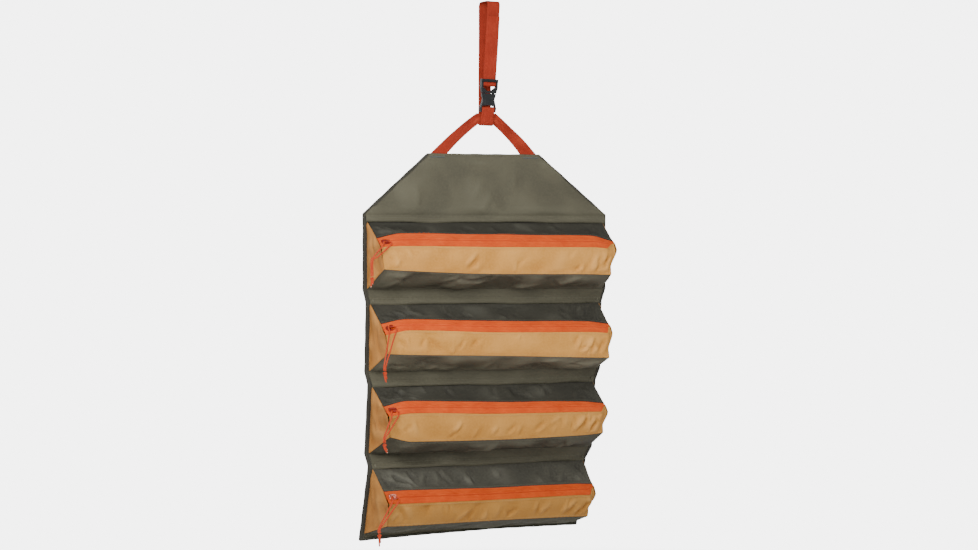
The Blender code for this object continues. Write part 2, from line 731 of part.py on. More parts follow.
def slider(name, parent):
    """The zip's slider: a plate behind both coils, a web in the slot, a plate in front and the bail for the cord."""
    under = PLATE_UNDER
    front = under + SLIDER_PLATE
    behind = COIL_DEPTH + GAP
    half = SLIDER_WIDTH / 2
    web = SLIDER_WEB / 2
    profile = [
        (-front, web),
        (-front, -half),
        (-under, -half),
        (-under, -web),
        (behind, -web),
        (behind, -half),
        (behind + SLIDER_PLATE, -half),
        (behind + SLIDER_PLATE, half),
        (behind, half),
        (behind, web),
    ]
    turn = Matrix.Rotation(math.pi / 2, 4, "Z")
    obj = extruded(name, profile, SLIDER_LENGTH, "slider_orange", parent)
    obj.data.transform(turn)
    hole = CORD_DIAMETER / 2 + BAIL_CLEARANCE
    reach = BAIL_REACH
    rise = BAIL_AXIS[2]
    arch = [(-BAIL_OUT - reach * x, rise + reach * z) for x, z in arc((0, 0), 1, -90, 90, 8)]
    foot = -front + SLIDER_PLATE / 2
    bail = extruded(
        name + "_bail",
        [(foot, rise - reach)] + arch + [(foot, rise + reach)],
        BAIL_WIDTH,
        None,
        parent,
        collection=CUTTERS,
    )
    bail.data.transform(turn)
    bail.hide_render = True
    bail.display_type = "WIRE"
    combine(obj, bail, "UNION")
    place = Matrix.Translation(BAIL_AXIS)
    combine(obj, round_bar(name + "_eye", hole, SLIDER_LENGTH + 0.002, place, parent), "DIFFERENCE")
    return obj


def pull(number, slider_frame):
    """The cord's loop and its knot. Both hang plumb from the bail, over the zip's lower edge."""
    middle = (slider_frame @ Matrix.Translation(BAIL_AXIS)).translation
    turn = math.atan2(slider_frame[1][0], slider_frame[0][0])
    frame = Matrix.Translation(middle) @ Matrix.Rotation(turn, 4, "Z")
    empty = add_empty(f"zipper_{number}_pull_frame", frame)
    drop = CORD_DROPS[number - 1]
    drift = CORD_DRIFTS[number - 1]
    bail_depth, bail_drop = zip_point(0, ZIP_BAND / 2 - BAIL_AXIS[2], BAIL_OUT)
    over = ZIP_FOOT_DEPTH + CLOTH_THICKNESS + CORD_DIAMETER / 2 + CORD_CLEARANCE - bail_depth
    edge = ZIP_FOOT_DROP - bail_drop
    plumb = drop - CORD_PLUMB_RUNS[number - 1]
    leg = [
        (0.0000, 0.0000, 0.0000),
        (0.0036, 0.0000, 0.0000),
        (0.0062, 0.0018, 0.0006),
        (0.0068, 0.0050, 0.0026),
        (0.0058, over, edge - 0.001),
        (0.0046, over, edge + 0.010),
        (0.0030, over, (edge + 0.010 + plumb) / 2),
        (0.0014, over, plumb),
        (0.0014, over, drop),
    ]
    route = []
    for hand, points in ((-1, reversed(leg)), (1, leg[1:])):
        for x, out, down in points:
            share = min(max(down - CORD_DRIFT_START, 0) / (plumb - CORD_DRIFT_START), 1)
            route.append(Vector((hand * x + drift * share, -out, -down)))
    cord = tube_curve(f"zipper_{number}_cord", smooth_tube(route, CORD_SAMPLES), CORD_DIAMETER)
    add_object(f"zipper_{number}_cord", cord, "cord", empty)
    knot(f"zipper_{number}_cord_knot", Vector((drift, -over, -drop - GAP)), CORD_TAILS[number - 1], empty)


def knot(name, top, tail, parent):
    """The knot that closes the loop: a turned bead with a short tail under it."""
    profile = [(0.0, 0.0), (0.0020, 0.0), (KNOT_DIAMETER / 2, -KNOT_LENGTH * 0.45), (0.0018, -KNOT_LENGTH)]
    profile += [(CORD_DIAMETER / 2, -KNOT_LENGTH - 0.001), (CORD_DIAMETER / 2, -KNOT_LENGTH - tail)]
    profile += [(0.0, -KNOT_LENGTH - tail)]
    bm = bmesh.new()
    verts = [bm.verts.new((x, 0, z)) for x, z in profile]
    edges = [bm.edges.new(pair) for pair in zip(verts, verts[1:])]
    bmesh.ops.spin(bm, geom=verts + edges, axis=(0, 0, 1), cent=(0, 0, 0), angle=2 * math.pi, steps=10)
    bmesh.ops.remove_doubles(bm, verts=bm.verts, dist=1e-6)
    obj = add_object(name, mesh_from(name, bm), "cord", parent, Matrix.Translation(top))
    obj.data.shade_smooth()
    return obj


hanging_strap()
strap_tail()
buckle_receiver()
buckle_adjuster()
buckle_arm("buckle_arm_left", -1)
buckle_arm("buckle_arm_right", 1)
yoke_webbing()
head()
for pocket_number in range(1, POCKET_COUNT + 1):
    pocket(pocket_number)
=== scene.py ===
# %% [markdown]
# # A hanging utensil roll
# The real thing is a fabric panel that hangs from a webbing yoke and a buckled strap, with four
# zipped pockets one below the other. The imported model already has its sizes, places and joints, so
# this script only adds what the eye looks for: cloth with folds and stitches, woven webbing, zips,
# cords and their finishes. The first call loads that model.

# %% Load the imported model
import math

import bmesh
import bpy
import numpy as np
from mathutils import Matrix, Vector


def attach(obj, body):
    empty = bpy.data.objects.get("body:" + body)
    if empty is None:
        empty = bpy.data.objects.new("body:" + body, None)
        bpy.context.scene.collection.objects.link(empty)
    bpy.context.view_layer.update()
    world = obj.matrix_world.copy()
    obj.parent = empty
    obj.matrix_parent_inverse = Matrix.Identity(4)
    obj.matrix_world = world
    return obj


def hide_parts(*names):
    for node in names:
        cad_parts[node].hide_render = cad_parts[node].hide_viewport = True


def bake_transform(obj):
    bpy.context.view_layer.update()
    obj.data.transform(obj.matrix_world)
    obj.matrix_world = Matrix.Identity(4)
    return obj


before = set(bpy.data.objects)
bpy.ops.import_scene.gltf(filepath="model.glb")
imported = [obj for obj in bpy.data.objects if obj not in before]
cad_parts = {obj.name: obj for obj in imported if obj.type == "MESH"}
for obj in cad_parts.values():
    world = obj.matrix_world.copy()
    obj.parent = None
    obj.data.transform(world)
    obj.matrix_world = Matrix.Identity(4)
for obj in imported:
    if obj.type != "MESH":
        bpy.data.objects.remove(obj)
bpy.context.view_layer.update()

# %% [markdown]
# ## The camera
# A picture is matched from one place only. The roll was seen from its left, level with its second
# pocket, through a long lens. A camera can be aimed by a constraint, but building its matrix from
# the three directions right, up and back keeps the small roll of the picture exact.

# %% Place the camera
PICTURE_WIDTH = 978
FOCAL_LENGTH_IN_PIXELS = 3200
CAMERA_PLACE = Vector((-1.9585, -4.8439, -0.4364))
CAMERA_YAW = math.radians(21.992)
CAMERA_DIP = math.radians(0.091)
CAMERA_ROLL = math.radians(-0.17)
CAMERA_FAR = 100
LEVEL_AHEAD = Vector((math.sin(CAMERA_YAW), math.cos(CAMERA_YAW), 0))
LEVEL_RIGHT = Vector((math.cos(CAMERA_YAW), -math.sin(CAMERA_YAW), 0))


def place_camera():
    ahead = LEVEL_AHEAD * math.cos(CAMERA_DIP)
    ahead.z = -math.sin(CAMERA_DIP)
    plumb = LEVEL_RIGHT.cross(ahead)
    right = LEVEL_RIGHT * math.cos(CAMERA_ROLL) + plumb * math.sin(CAMERA_ROLL)
    up = plumb * math.cos(CAMERA_ROLL) - LEVEL_RIGHT * math.sin(CAMERA_ROLL)
    data = bpy.data.cameras.new("long_lens")
    data.lens = FOCAL_LENGTH_IN_PIXELS / PICTURE_WIDTH * data.sensor_width
    data.clip_end = CAMERA_FAR
    camera = bpy.data.objects.new("camera", data)
    turn = Matrix((right, up, -ahead)).transposed().to_4x4()
    camera.matrix_world = Matrix.Translation(CAMERA_PLACE) @ turn
    bpy.context.scene.collection.objects.link(camera)
    bpy.context.scene.camera = camera
    print("camera lens", round(data.lens, 1), "mm")


place_camera()

# %% [markdown]
# ## How the roll hangs
# Cloth sewn to a stiffened panel has to follow it. Each pocket's length of the panel is flat, and
# turned and leaned a little more than the one above it; the plain strip between two pockets makes
# up the difference. So one function turns a place on the flat pattern (side, depth in front of the
# panel, drop below its top edge) into a place in the air. Every cloth below is drawn flat and hung
# by it, many points at a time with NumPy.

# %% The pattern's sizes, in metres, as in the part's source
GAP = 0.0003
PANEL_WIDTH = 0.430
PANEL_THICKNESS = 0.0024
HEAD_TOP_WIDTH = 0.1955
SHOULDER_DROP = 0.0975
SHOULDER_TO_FOLD = 0.0101
BOTTOM_HEM = 0.011
SECTION_TURNS = (2.0, 5.5, 9.0, 13.0)
SECTION_LEANS = (0.5, 3.0, 6.0, 13.0)
POCKETS = (1, 2, 3, 4)
HANDS = {"left": -1, "right": 1}
POCKET_PITCH = 0.1323
POCKET_BACK_HEIGHT = 0.1088
SEAM_BELOW_FOLD = 0.0024
POCKET_INSET = 0.0061
FOOT_CORNER_INSET = 0.0085
YOKE_APEX_TOP_DROP = 0.181
YOKE_APEX_HEIGHT = 0.01785
YOKE_HEIGHT = 0.067
STRAP_SIDE_LEAN = math.radians(2.1)

HEAD_TOP_DROP = YOKE_APEX_TOP_DROP + YOKE_HEIGHT
APEX_DROP = YOKE_APEX_TOP_DROP + YOKE_APEX_HEIGHT / 2
HEAD_SIDE = -APEX_DROP * math.sin(STRAP_SIDE_LEAN)
HALF_PANEL = PANEL_WIDTH / 2
HALF_POCKET = HALF_PANEL - POCKET_INSET
FIRST_FOLD = SHOULDER_DROP + SHOULDER_TO_FOLD


def fold_drop(number):
    return FIRST_FOLD + (number - 1) * POCKET_PITCH


def seam_drop(number):
    return fold_drop(number) + SEAM_BELOW_FOLD


def low_seam_drop(number):
    return seam_drop(number) + POCKET_BACK_HEIGHT


PANEL_END = low_seam_drop(POCKETS[-1]) + BOTTOM_HEM

# %% Hang the pattern
BREAKS = [0.0]
TURNS = [0.0]
LEANS = [0.0]
for pocket, turn_there, lean_there in zip(POCKETS, SECTION_TURNS, SECTION_LEANS):
    BREAKS += [fold_drop(pocket), low_seam_drop(pocket)]
    TURNS += [math.radians(turn_there)] * 2
    LEANS += [math.radians(lean_there)] * 2


def directions(drop):
    """The panel's own right, back and up at each drop."""
    turn = np.interp(drop, BREAKS, TURNS)
    lean = np.interp(drop, BREAKS, LEANS)
    st, ct, sl, cl = np.sin(turn), np.cos(turn), np.sin(lean), np.cos(lean)
    right = np.stack([ct, st, 0 * ct], -1)
    back = np.stack([-st * cl, ct * cl, sl], -1)
    up = np.stack([st * sl, -ct * sl, cl], -1)
    return right, back, up


HANG_STEPS = 600
HEAD_SWAY = 0.0044
FOOT_DRAWN_UP = 0.0070
FOOT_STATIONS = (-HALF_PANEL, -0.10, 0.05, HALF_PANEL)
FOOT_SHARES = (0.0, 0.55, 1.0, 0.85)
CURVE_DROPS = np.linspace(0, PANEL_END, HANG_STEPS + 1)
STEP_UPS = directions((CURVE_DROPS[1:] + CURVE_DROPS[:-1]) / 2)[2]
CURVE = np.vstack([np.zeros(3), -np.cumsum(STEP_UPS, axis=0) * PANEL_END / HANG_STEPS])
CURVE += np.array([HEAD_SIDE, -PANEL_THICKNESS / 2, -HEAD_TOP_DROP])


def spread(*numbers):
    """The same numbers as arrays of one shape."""
    return np.broadcast_arrays(*(np.asarray(x, float) for x in numbers))


def points_at(x, y, z):
    """Points from three coordinates, each a number, a row, a column or a grid."""
    return np.stack(spread(x, y, z), -1)


def values_at(at, reach, values):
    """Each column of the values at these distances along their line."""
    return np.stack([np.interp(at, reach, column) for column in values.T], -1)


def measured_from(origin, axes, side, depth, drop):
    """Places to the side of, in front of and below an origin that has its own right, back and up."""
    right, back, up = axes
    return origin + side[..., None] * right - depth[..., None] * back - drop[..., None] * up


def hang(side, depth, drop):
    """Places in the air from places on the flat pattern. The head's top sways a little to the left."""
    side, depth, drop = spread(side, depth, drop)
    on_panel = np.clip(drop, 0, PANEL_END)
    side = side - HEAD_SWAY * np.clip(1 - on_panel / SHOULDER_DROP, 0, 1)
    drawn_up = FOOT_DRAWN_UP * np.clip((drop - PANEL_END) / BOTTOM_HEM + 1, 0, 1)
    drop = drop - drawn_up * np.interp(side, FOOT_STATIONS, FOOT_SHARES)
    on_panel = np.clip(drop, 0, PANEL_END)
    line = values_at(on_panel, CURVE_DROPS, CURVE)
    return measured_from(line, directions(on_panel), side, depth, drop - on_panel)


def pocket_place(number, side, depth, drop):
    """Places on a pocket's own section, which is flat. The drop is measured from the pocket's top seam."""
    seam = seam_drop(number)
    return measured_from(hang(0, 0, seam), directions(seam), *spread(side, depth, drop))


print("the panel ends", round(PANEL_END * 1000, 1), "mm below its top edge")

# %% [markdown]
# ## Cloth from a grid of places
# A plane with Blender's Solidify modifier would give a cloth its thickness, but its two faces could
# not differ, and a hem or a groove needs that. Here a cloth is built from one grid of places: a
# front layer, a back layer and the edge that joins them. Two things are stored on each point for
# the finishes. "cloth" is its place on the flat pattern, so that the weave keeps its scale however
# the cloth is folded, and "relief" is how far the point stands up, so that the finishes can paint
# highlight on ridges and shade in valleys; on the rolled edges and the zip tapes it also carries
# extra painted shade, and on the rolled edges a painted highlight.

# %% Make closed meshes
SURFACES = {}
MERGE_DISTANCE = 2e-6
THINNEST = 1e-6
SHARP_ANGLE = math.radians(48)


def unit(vectors):
    """The same directions, each 1 long."""
    return vectors / np.linalg.norm(vectors, axis=-1, keepdims=True)


def full_turn(count):
    """Even steps round a circle, in radians."""
    return np.linspace(0, 2 * math.pi, count, endpoint=False)


def reach_along(points):
    """How far each point lies along the line that they make."""
    return np.concatenate([[0], np.cumsum(np.linalg.norm(np.diff(points, axis=0), axis=1))])


def add_mesh(name, verts, faces, flat, relief, material):
    """A mesh object whose points carry their place on the flat pattern and their relief."""
    mesh = bpy.data.meshes.new(name)
    mesh.from_pydata(np.asarray(verts).tolist(), [], faces)
    mesh.attributes.new("cloth", "FLOAT_VECTOR", "POINT").data.foreach_set("vector", np.ravel(flat))
    mesh.attributes.new("relief", "FLOAT", "POINT").data.foreach_set("value", np.ravel(relief))
    bm = bmesh.new()
    bm.from_mesh(mesh)
    bmesh.ops.remove_doubles(bm, verts=bm.verts, dist=MERGE_DISTANCE)
    bmesh.ops.dissolve_degenerate(bm, edges=bm.edges, dist=THINNEST)
    bmesh.ops.recalc_face_normals(bm, faces=bm.faces)
    if bm.calc_volume(signed=True) < 0:
        bmesh.ops.reverse_faces(bm, faces=bm.faces)
    bm.to_mesh(mesh)
    bm.free()
    mesh.shade_smooth()
    mesh.set_sharp_from_angle(angle=SHARP_ANGLE)
    obj = bpy.data.objects.new(name, mesh)
    bpy.context.scene.collection.objects.link(obj)
    obj.data.materials.append(material)
    return obj


def outward(places):
    """The direction that each point of a grid faces. Its rows go down and its columns to the right."""
    facing = np.cross(np.gradient(places, axis=0), np.gradient(places, axis=1))
    size = np.linalg.norm(facing, axis=2, keepdims=True)
    return np.where(size > 1e-12, facing / np.maximum(size, 1e-12), unit(facing.sum((0, 1))))


def grid_faces(index):
    """Quads between the rows and columns of a grid of point numbers, or of a stack of grids."""
    corners = (index[..., :-1, :-1], index[..., 1:, :-1], index[..., 1:, 1:], index[..., :-1, 1:])
    return np.stack(corners, -1).reshape(-1, 4).tolist()


def cloth(name, places, flat, material, inner, outer, relief=0.0):
    """A closed cloth over a grid: its faces lie this far inside and outside the grid's places."""
    rows, columns = places.shape[:2]
    facing = outward(places)
    inner, outer = (np.broadcast_to(x, (rows, columns))[..., None] for x in (inner, outer))
    layers = np.stack([places + facing * outer, places + facing * inner])
    SURFACES[name] = (*layers, facing)
    index = np.arange(2 * rows * columns).reshape(2, rows, columns)
    faces = grid_faces(index[0]) + grid_faces(index[1][:, ::-1])
    for edge in (index[:, 0, :], index[:, -1, :], index[:, :, 0], index[:, :, -1]):
        faces += grid_faces(edge)
    pattern = np.zeros((2, rows, columns, 3))
    pattern[..., 0] = flat[0]
    pattern[..., 1] = flat[1]
    pattern[1, ..., 2] = 0.01
    relief = np.broadcast_to(relief, (2, rows, columns))
    return add_mesh(name, layers.reshape(-1, 3), faces, pattern, relief, material)


def tube(name, points, radius, material, sides=10, closed=False):
    """A round bar along a smooth line of points. The radius may differ from point to point."""
    points = np.asarray(points, float)
    radius = np.broadcast_to(np.asarray(radius, float), len(points))
    if closed:
        along = np.roll(points, -1, 0) - np.roll(points, 1, 0)
    else:
        along = np.gradient(points, axis=0)
    along = unit(along)
    across = np.cross(along[0], (0.3, 0.9, 0.2))
    around = full_turn(sides)
    rings = []
    for place, direction, r in zip(points, along, radius):
        across = unit(across - direction * (across @ direction))
        beside = np.cross(direction, across)
        rings.append(place + r * (np.outer(np.cos(around), across) + np.outer(np.sin(around), beside)))
    rings = np.array(rings)
    pattern = np.zeros((*rings.shape[:2], 3))
    pattern[..., 0] = around * np.mean(radius)
    pattern[..., 1] = reach_along(points)[:, None]
    index = np.arange(len(points) * sides).reshape(len(points), sides)
    index = np.hstack([index, index[:, :1]])
    if closed:
        index = np.vstack([index, index[:1]])
    faces = grid_faces(index)
    if not closed:
        faces += [index[0, :-1].tolist(), index[-1, -2::-1].tolist()]
    return add_mesh(name, rings.reshape(-1, 3), faces, pattern, np.zeros(rings.shape[:2]), material)


def smooth_line(points, step):
    """Points about this far apart on a smooth curve through a few given ones."""
    points = np.asarray(points, float)
    knots = np.vstack([2 * points[0] - points[1], points, 2 * points[-1] - points[-2]])
    t = np.linspace(0, 1, 16, endpoint=False)[:, None]
    fine = []
    for a, b, c, d in zip(knots, knots[1:], knots[2:], knots[3:]):
        fine.append(0.5 * (2 * b + (c - a) * t + (2 * a - 5 * b + 4 * c - d) * t**2
                           + (3 * b - a - 3 * c + d) * t**3))
    return even_line(np.vstack([*fine, points[-1:]]), step)


def even_line(points, step):
    """The same line, with its points at even steps."""
    points = np.asarray(points, float)
    reach = reach_along(points)
    count = max(int(round(reach[-1] / step)), 2) + 1
    return values_at(np.linspace(0, reach[-1], count), reach, points)


def line_length(points):
    return float(np.linalg.norm(np.diff(np.asarray(points, float), axis=0), axis=1).sum())


# %% [markdown]
# ## Stitches
# A seam reads as sewn only when its thread shows. A dashed texture would do from afar, but a real
# stitch stands up, catches light and dips into the cloth at both ends. So each is a small spindle,
# set along a row or a column of the cloth's own grid, and a seam's spindles are joined in one mesh.

# %% Sew along a line
STITCH_PITCH = 0.0032
STITCH_LENGTH = 0.0024
THREAD_RADIUS = 0.00030
SPINDLE = np.array(((-0.50, -0.9, 0.45), (-0.28, 0.3, 1.0), (0.28, 0.3, 1.0), (0.50, -0.9, 0.45)))
SPINDLE_SIDES = 5


def line_on(name, axis, share, rear=False):
    """A row (axis 0) or column (axis 1) of a cloth's front or rear face, and the way it faces there."""
    front, back, facing = SURFACES[name]
    grid, sign = (back, -1) if rear else (front, 1)
    last = grid.shape[axis] - 1
    k = min(int(share * last), last - 1)
    t = share * last - k
    places = np.take(grid, k, axis) * (1 - t) + np.take(grid, k + 1, axis) * t
    return places, sign * np.take(facing, k, axis)


def stitches(name, lines, material, pitch=STITCH_PITCH, length=STITCH_LENGTH, radius=THREAD_RADIUS):
    """Spindles of thread along each (places, facing) line, in one mesh."""
    rows = []
    for places, facing in lines:
        reach = reach_along(places)
        count = max(int(reach[-1] / pitch), 1)
        at = (np.arange(count) + 0.5) * reach[-1] / count
        ahead = values_at(at + length / 2, reach, places) - values_at(at - length / 2, reach, places)
        rows.append(np.stack([values_at(at, reach, places), ahead, values_at(at, reach, facing)], 1))
    middle, along, up = np.moveaxis(np.concatenate(rows), 1, 0)
    along = unit(along)
    beside = unit(np.cross(along, up))
    up = np.cross(beside, along)
    turn = full_turn(SPINDLE_SIDES)
    forward, lift, thick = SPINDLE.T
    spine = (middle[:, None] + along[:, None] * (forward * length)[None, :, None]
             + up[:, None] * (lift * radius)[None, :, None])
    ring = beside[:, None] * np.cos(turn)[None, :, None] + up[:, None] * np.sin(turn)[None, :, None]
    verts = spine[:, :, None] + ring[:, None] * (thick * radius)[None, :, None, None]
    index = np.arange(verts.size // 3).reshape(verts.shape[:3])
    faces = grid_faces(np.concatenate([index, index[:, :, :1]], 2))
    faces += index[:, 0].tolist() + index[:, -1, ::-1].tolist()
    flat = np.zeros((*verts.shape[:3], 3))
    flat[..., 0] = (turn * radius)[None, None]
    flat[..., 1] = (forward * length)[None, :, None]
    return add_mesh(name, verts.reshape(-1, 3), faces, flat, np.zeros(verts.shape[:3]), material)


# %% [markdown]
# ## Folds, waves and puckers
# Cloth that has been rolled up and sewn never lies flat. It has three kinds of relief: broad waves
# where it hangs loose, short folds where it is bunched, and puckers beside each row of stitches.
# They could be painted with a bump texture, but only real height changes the outline and the
# shadows, so each kind is a small function that returns heights for the grid. Each draws from its
# own seeded generator, so every run gives the same cloth.

# %% Relief of a cloth
WAVE_COUNT = 7
PUCKER_REACH = 0.006


def waves(side, down, seed, length, height):
    """Broad uneven waves."""
    rng = np.random.default_rng(seed)
    total = np.zeros(np.broadcast(side, down).shape)
    for _ in range(WAVE_COUNT):
        heading = rng.uniform(0, math.pi)
        turns = 2 * math.pi / (length * rng.uniform(0.7, 1.7))
        phase = rng.uniform(0, 2 * math.pi)
        total += np.sin((side * math.cos(heading) + down * math.sin(heading)) * turns + phase)
    return total * height / math.sqrt(WAVE_COUNT / 2)


def bell(x, middle, width):
    """1 at the middle, fading to nothing on both sides."""
    return np.exp(-(((x - middle) / width) ** 2))


def fold(side, down, at_side, at_down, tilt, reach, width, height):
    """One fold, fading at its ends: a ridge with a valley beside it, straight down at a tilt of 0."""
    along = (side - at_side) * math.sin(tilt) + (down - at_down) * math.cos(tilt)
    across = (side - at_side) * math.cos(tilt) - (down - at_down) * math.sin(tilt)
    fade = np.clip(1 - (along / reach) ** 2, 0, 1) ** 2
    ridge = bell(across, 0, width) - 0.6 * bell(across, 1.4 * width, width)
    return height * fade * ridge


def folds(side, down, seed, count, sides, downs, reach, width, height, tilt=0.0):
    """Short folds scattered over part of a cloth."""
    rng = np.random.default_rng(seed)
    total = np.zeros(np.broadcast(side, down).shape)
    for _ in range(count):
        place = rng.uniform(*sides), rng.uniform(*downs)
        lean = tilt + rng.normal(0, 0.35)
        size = rng.uniform(0.6, 1.3)
        tall = height * rng.uniform(0.5, 1.0) * rng.choice((-1, 1))
        total += fold(side, down, *place, lean, reach * size, width * rng.uniform(0.7, 1.4), tall)
    return total


def puckers(side, distance, seed, height, spacing=0.008):
    """Small gathers beside a row of stitches, fading with the distance from it."""
    rng = np.random.default_rng(seed)
    drift = 0.3 * spacing * np.sin(side / 0.031 + rng.uniform(0, 6))
    beat = np.sin((side + drift) * 2 * math.pi / spacing + rng.uniform(0, 6))
    swell = 0.6 + 0.4 * np.sin(side / 0.047 + rng.uniform(0, 6))
    return height * beat * swell * np.exp(-np.abs(distance) / PUCKER_REACH)


def ease(x):
    """0 below 0, 1 above 1, and a smooth rise between."""
    x = np.clip(x, 0, 1)
    return x * x * (3 - 2 * x)


def smooth_through(places, values, at):
    """A smooth curve through a few values that doesn't overshoot them."""
    x, y = np.asarray(places, float), np.asarray(values, float)
    climb = np.diff(y) / np.diff(x)
    both = climb[1:] * climb[:-1]
    inner = np.where(both > 0, 2 * both / np.where(both > 0, climb[1:] + climb[:-1], 1), 0)
    slope = np.concatenate([[climb[0]], inner, [climb[-1]]])
    k = np.clip(np.searchsorted(x, at, side="right") - 1, 0, len(x) - 2)
    width = x[k + 1] - x[k]
    t = np.clip((at - x[k]) / width, 0, 1)
    start = (1 + 2 * t) * (1 - t) ** 2 * y[k] + t * (1 - t) ** 2 * width * slope[k]
    return start + t * t * (3 - 2 * t) * y[k + 1] + t * t * (t - 1) * width * slope[k + 1]


def held_edges(share, reach=0.12):
    """0 at both ends of a 0 to 1 range and 1 inside it."""
    return ease(np.minimum(share, 1 - share) / reach)


# %% [markdown]
# ## Finishes
# Every finish is a Principled shader with a few procedural textures. They all read the stored
# pattern place, so threads keep their width on every piece and stay put when a pocket moves. The
# canvas has a fine plain weave; the webbing has ribs crossed by slanting picks; the cord is a braid.
# Broad noise varies the colour, and the stored relief paints highlight on the ridges and shade in
# the valleys. Values that are the same all over are set on the shader itself.

# %% Build a finish


def add_node(tree, kind, inputs=(), **settings):
    """A node with these settings. Each input is another node's output or a plain value."""
    node = tree.nodes.new(kind)
    for name, value in settings.items():
        setattr(node, name, value)
    for name, value in dict(inputs).items():
        lead(tree, node.inputs[name], value)
    return node


def lead(tree, socket, value):
    """Lead another node's output into a socket, or set the socket's own value."""
    if isinstance(value, bpy.types.NodeSocket):
        tree.links.new(value, socket)
    else:
        socket.default_value = value


class Finish:
    """A material's node tree, built by small steps."""

    def __init__(self, name, roughness, metallic=0.0, specular=0.5):
        self.material = bpy.data.materials.new(name)
        self.material.use_nodes = True
        self.tree = self.material.node_tree
        self.shader = self.tree.nodes["Principled BSDF"]
        self.put("Roughness", roughness)
        self.put("Metallic", metallic)
        self.put("Specular IOR Level", specular)
        self.pattern = self.node("ShaderNodeAttribute", attribute_name="cloth").outputs["Vector"]
        self.relief = self.node("ShaderNodeAttribute", attribute_name="relief").outputs["Fac"]

    def node(self, kind, inputs=(), **settings):
        return add_node(self.tree, kind, inputs, **settings)

    def put(self, name, value):
        """Set one of the shader's own inputs."""
        lead(self.tree, self.shader.inputs[name], value)

    def math(self, operation, a, b=0.0, c=0.5):
        return self.node("ShaderNodeMath", enumerate((a, b, c)), operation=operation).outputs[0]

    def ramp(self, value, *ends):
        """A smooth climb from one share to another as the value goes from low to high."""
        return self.node("ShaderNodeMapRange", enumerate((value, *ends)),
                         interpolation_type="SMOOTHSTEP").outputs[0]

    def noise(self, size, detail=3.0, stretch=(1, 1, 1)):
        """Uneven patches about this size in metres."""
        scaled = self.node("ShaderNodeVectorMath", {0: self.pattern, 1: stretch}, operation="MULTIPLY")
        inputs = {"Vector": scaled.outputs[0], "Scale": 1 / size, "Detail": detail}
        return self.node("ShaderNodeTexNoise", inputs).outputs["Fac"]

    def threads(self, axis, pitch, skew=0.0):
        """A wave from 0 to 1 across threads of this pitch: axis 0 counts across the cloth and 1 down it."""
        apart = self.node("ShaderNodeSeparateXYZ", {0: self.pattern})
        place = self.math("MULTIPLY", apart.outputs[axis], 2 * math.pi / pitch)
        if skew:
            place = self.math("ADD", place, self.math("MULTIPLY", apart.outputs[1 - axis], skew / pitch))
        return self.math("MULTIPLY_ADD", self.math("SINE", place), 0.5, 0.5)

    def tint(self, base, colour, share):
        """The base mixed with this share of another colour."""
        base, colour = ((*x, 1) if isinstance(x, tuple) else x for x in (base, colour))
        return self.node("ShaderNodeMix", {"Factor": share, 6: base, 7: colour}, data_type="RGBA").outputs[2]

    def bump(self, height, distance, strength):
        inputs = {"Strength": strength, "Distance": distance, "Height": height}
        self.put("Normal", self.node("ShaderNodeBump", inputs).outputs[0])


def canvas(name, colour, shade, light, thread=0.0011):
    """Coated canvas in a plain weave: its colour, a darker colour for random patches and painted shade in
    its valleys, and a lighter colour for grain and painted highlight on its ridges.
    """
    finish = Finish(name, 0.68, specular=0.22)
    weave = finish.math("MULTIPLY", finish.threads(0, thread), finish.threads(1, thread))
    grain = finish.noise(0.0035, 4.0)
    base = finish.tint(colour, shade, finish.ramp(finish.noise(0.055), 0.35, 0.65, 0.0, 0.45))
    # Painted shade in the valleys and painted highlight on the ridges, from the stored relief.
    base = finish.tint(base, shade, finish.ramp(finish.relief, 0.0, -0.0022, 0.0, 0.6))
    base = finish.tint(base, light, finish.ramp(finish.relief, 0.0, 0.0026, 0.0, 0.45))
    base = finish.tint(base, light, finish.ramp(grain, 0.3, 0.75, 0.0, 0.28))
    base = finish.tint(base, shade, finish.ramp(weave, 0.0, 0.6, 0.22, 0.0))
    finish.put("Base Color", base)
    finish.put("Roughness", finish.ramp(grain, 0.3, 0.7, 0.60, 0.78))
    finish.bump(finish.math("ADD", weave, finish.math("MULTIPLY", grain, 0.8)), 0.00022, 0.55)
    return finish.material


def ribbed(name, colour, shade, light, pitch, roughness=0.75):
    """Woven webbing or tape: ribs along it, crossed by fine picks."""
    finish = Finish(name, roughness, specular=0.16)
    ribs = finish.threads(0, pitch)
    picks = finish.threads(1, pitch * 0.62, 6.0)
    grain = finish.noise(0.004, 4.0, (1, 0.4, 1))
    base = finish.tint(colour, shade, finish.ramp(finish.noise(0.04), 0.35, 0.65, 0.0, 0.4))
    base = finish.tint(base, shade, finish.ramp(ribs, 0.0, 0.45, 0.4, 0.0))
    base = finish.tint(base, light, finish.ramp(grain, 0.4, 0.8, 0.0, 0.3))
    # Painted shade where the relief dips, as in the zip's slot, and painted highlight where it stands up.
    base = finish.tint(base, shade, finish.ramp(finish.relief, 0.0, -0.001, 0.0, 0.8))
    base = finish.tint(base, light, finish.ramp(finish.relief, 0.0002, 0.001, 0.0, 0.5))
    finish.put("Base Color", base)
    finish.bump(finish.math("ADD", ribs, finish.math("MULTIPLY", picks, 0.6)), 0.0003, 0.6)
    return finish.material


def braid(name, colour, shade, light):
    """Braided cord: strands that cross one another round it."""
    finish = Finish(name, 0.6, specular=0.25)
    strands = finish.math("MAXIMUM", finish.threads(1, 0.0016, 3.2), finish.threads(1, 0.0016, -3.2))
    base = finish.tint(colour, shade, finish.ramp(strands, 0.5, 1.0, 0.7, 0.0))
    base = finish.tint(base, light, finish.ramp(finish.noise(0.003), 0.45, 0.75, 0.0, 0.5))
    finish.put("Base Color", base)
    finish.bump(strands, 0.0003, 0.7)
    return finish.material


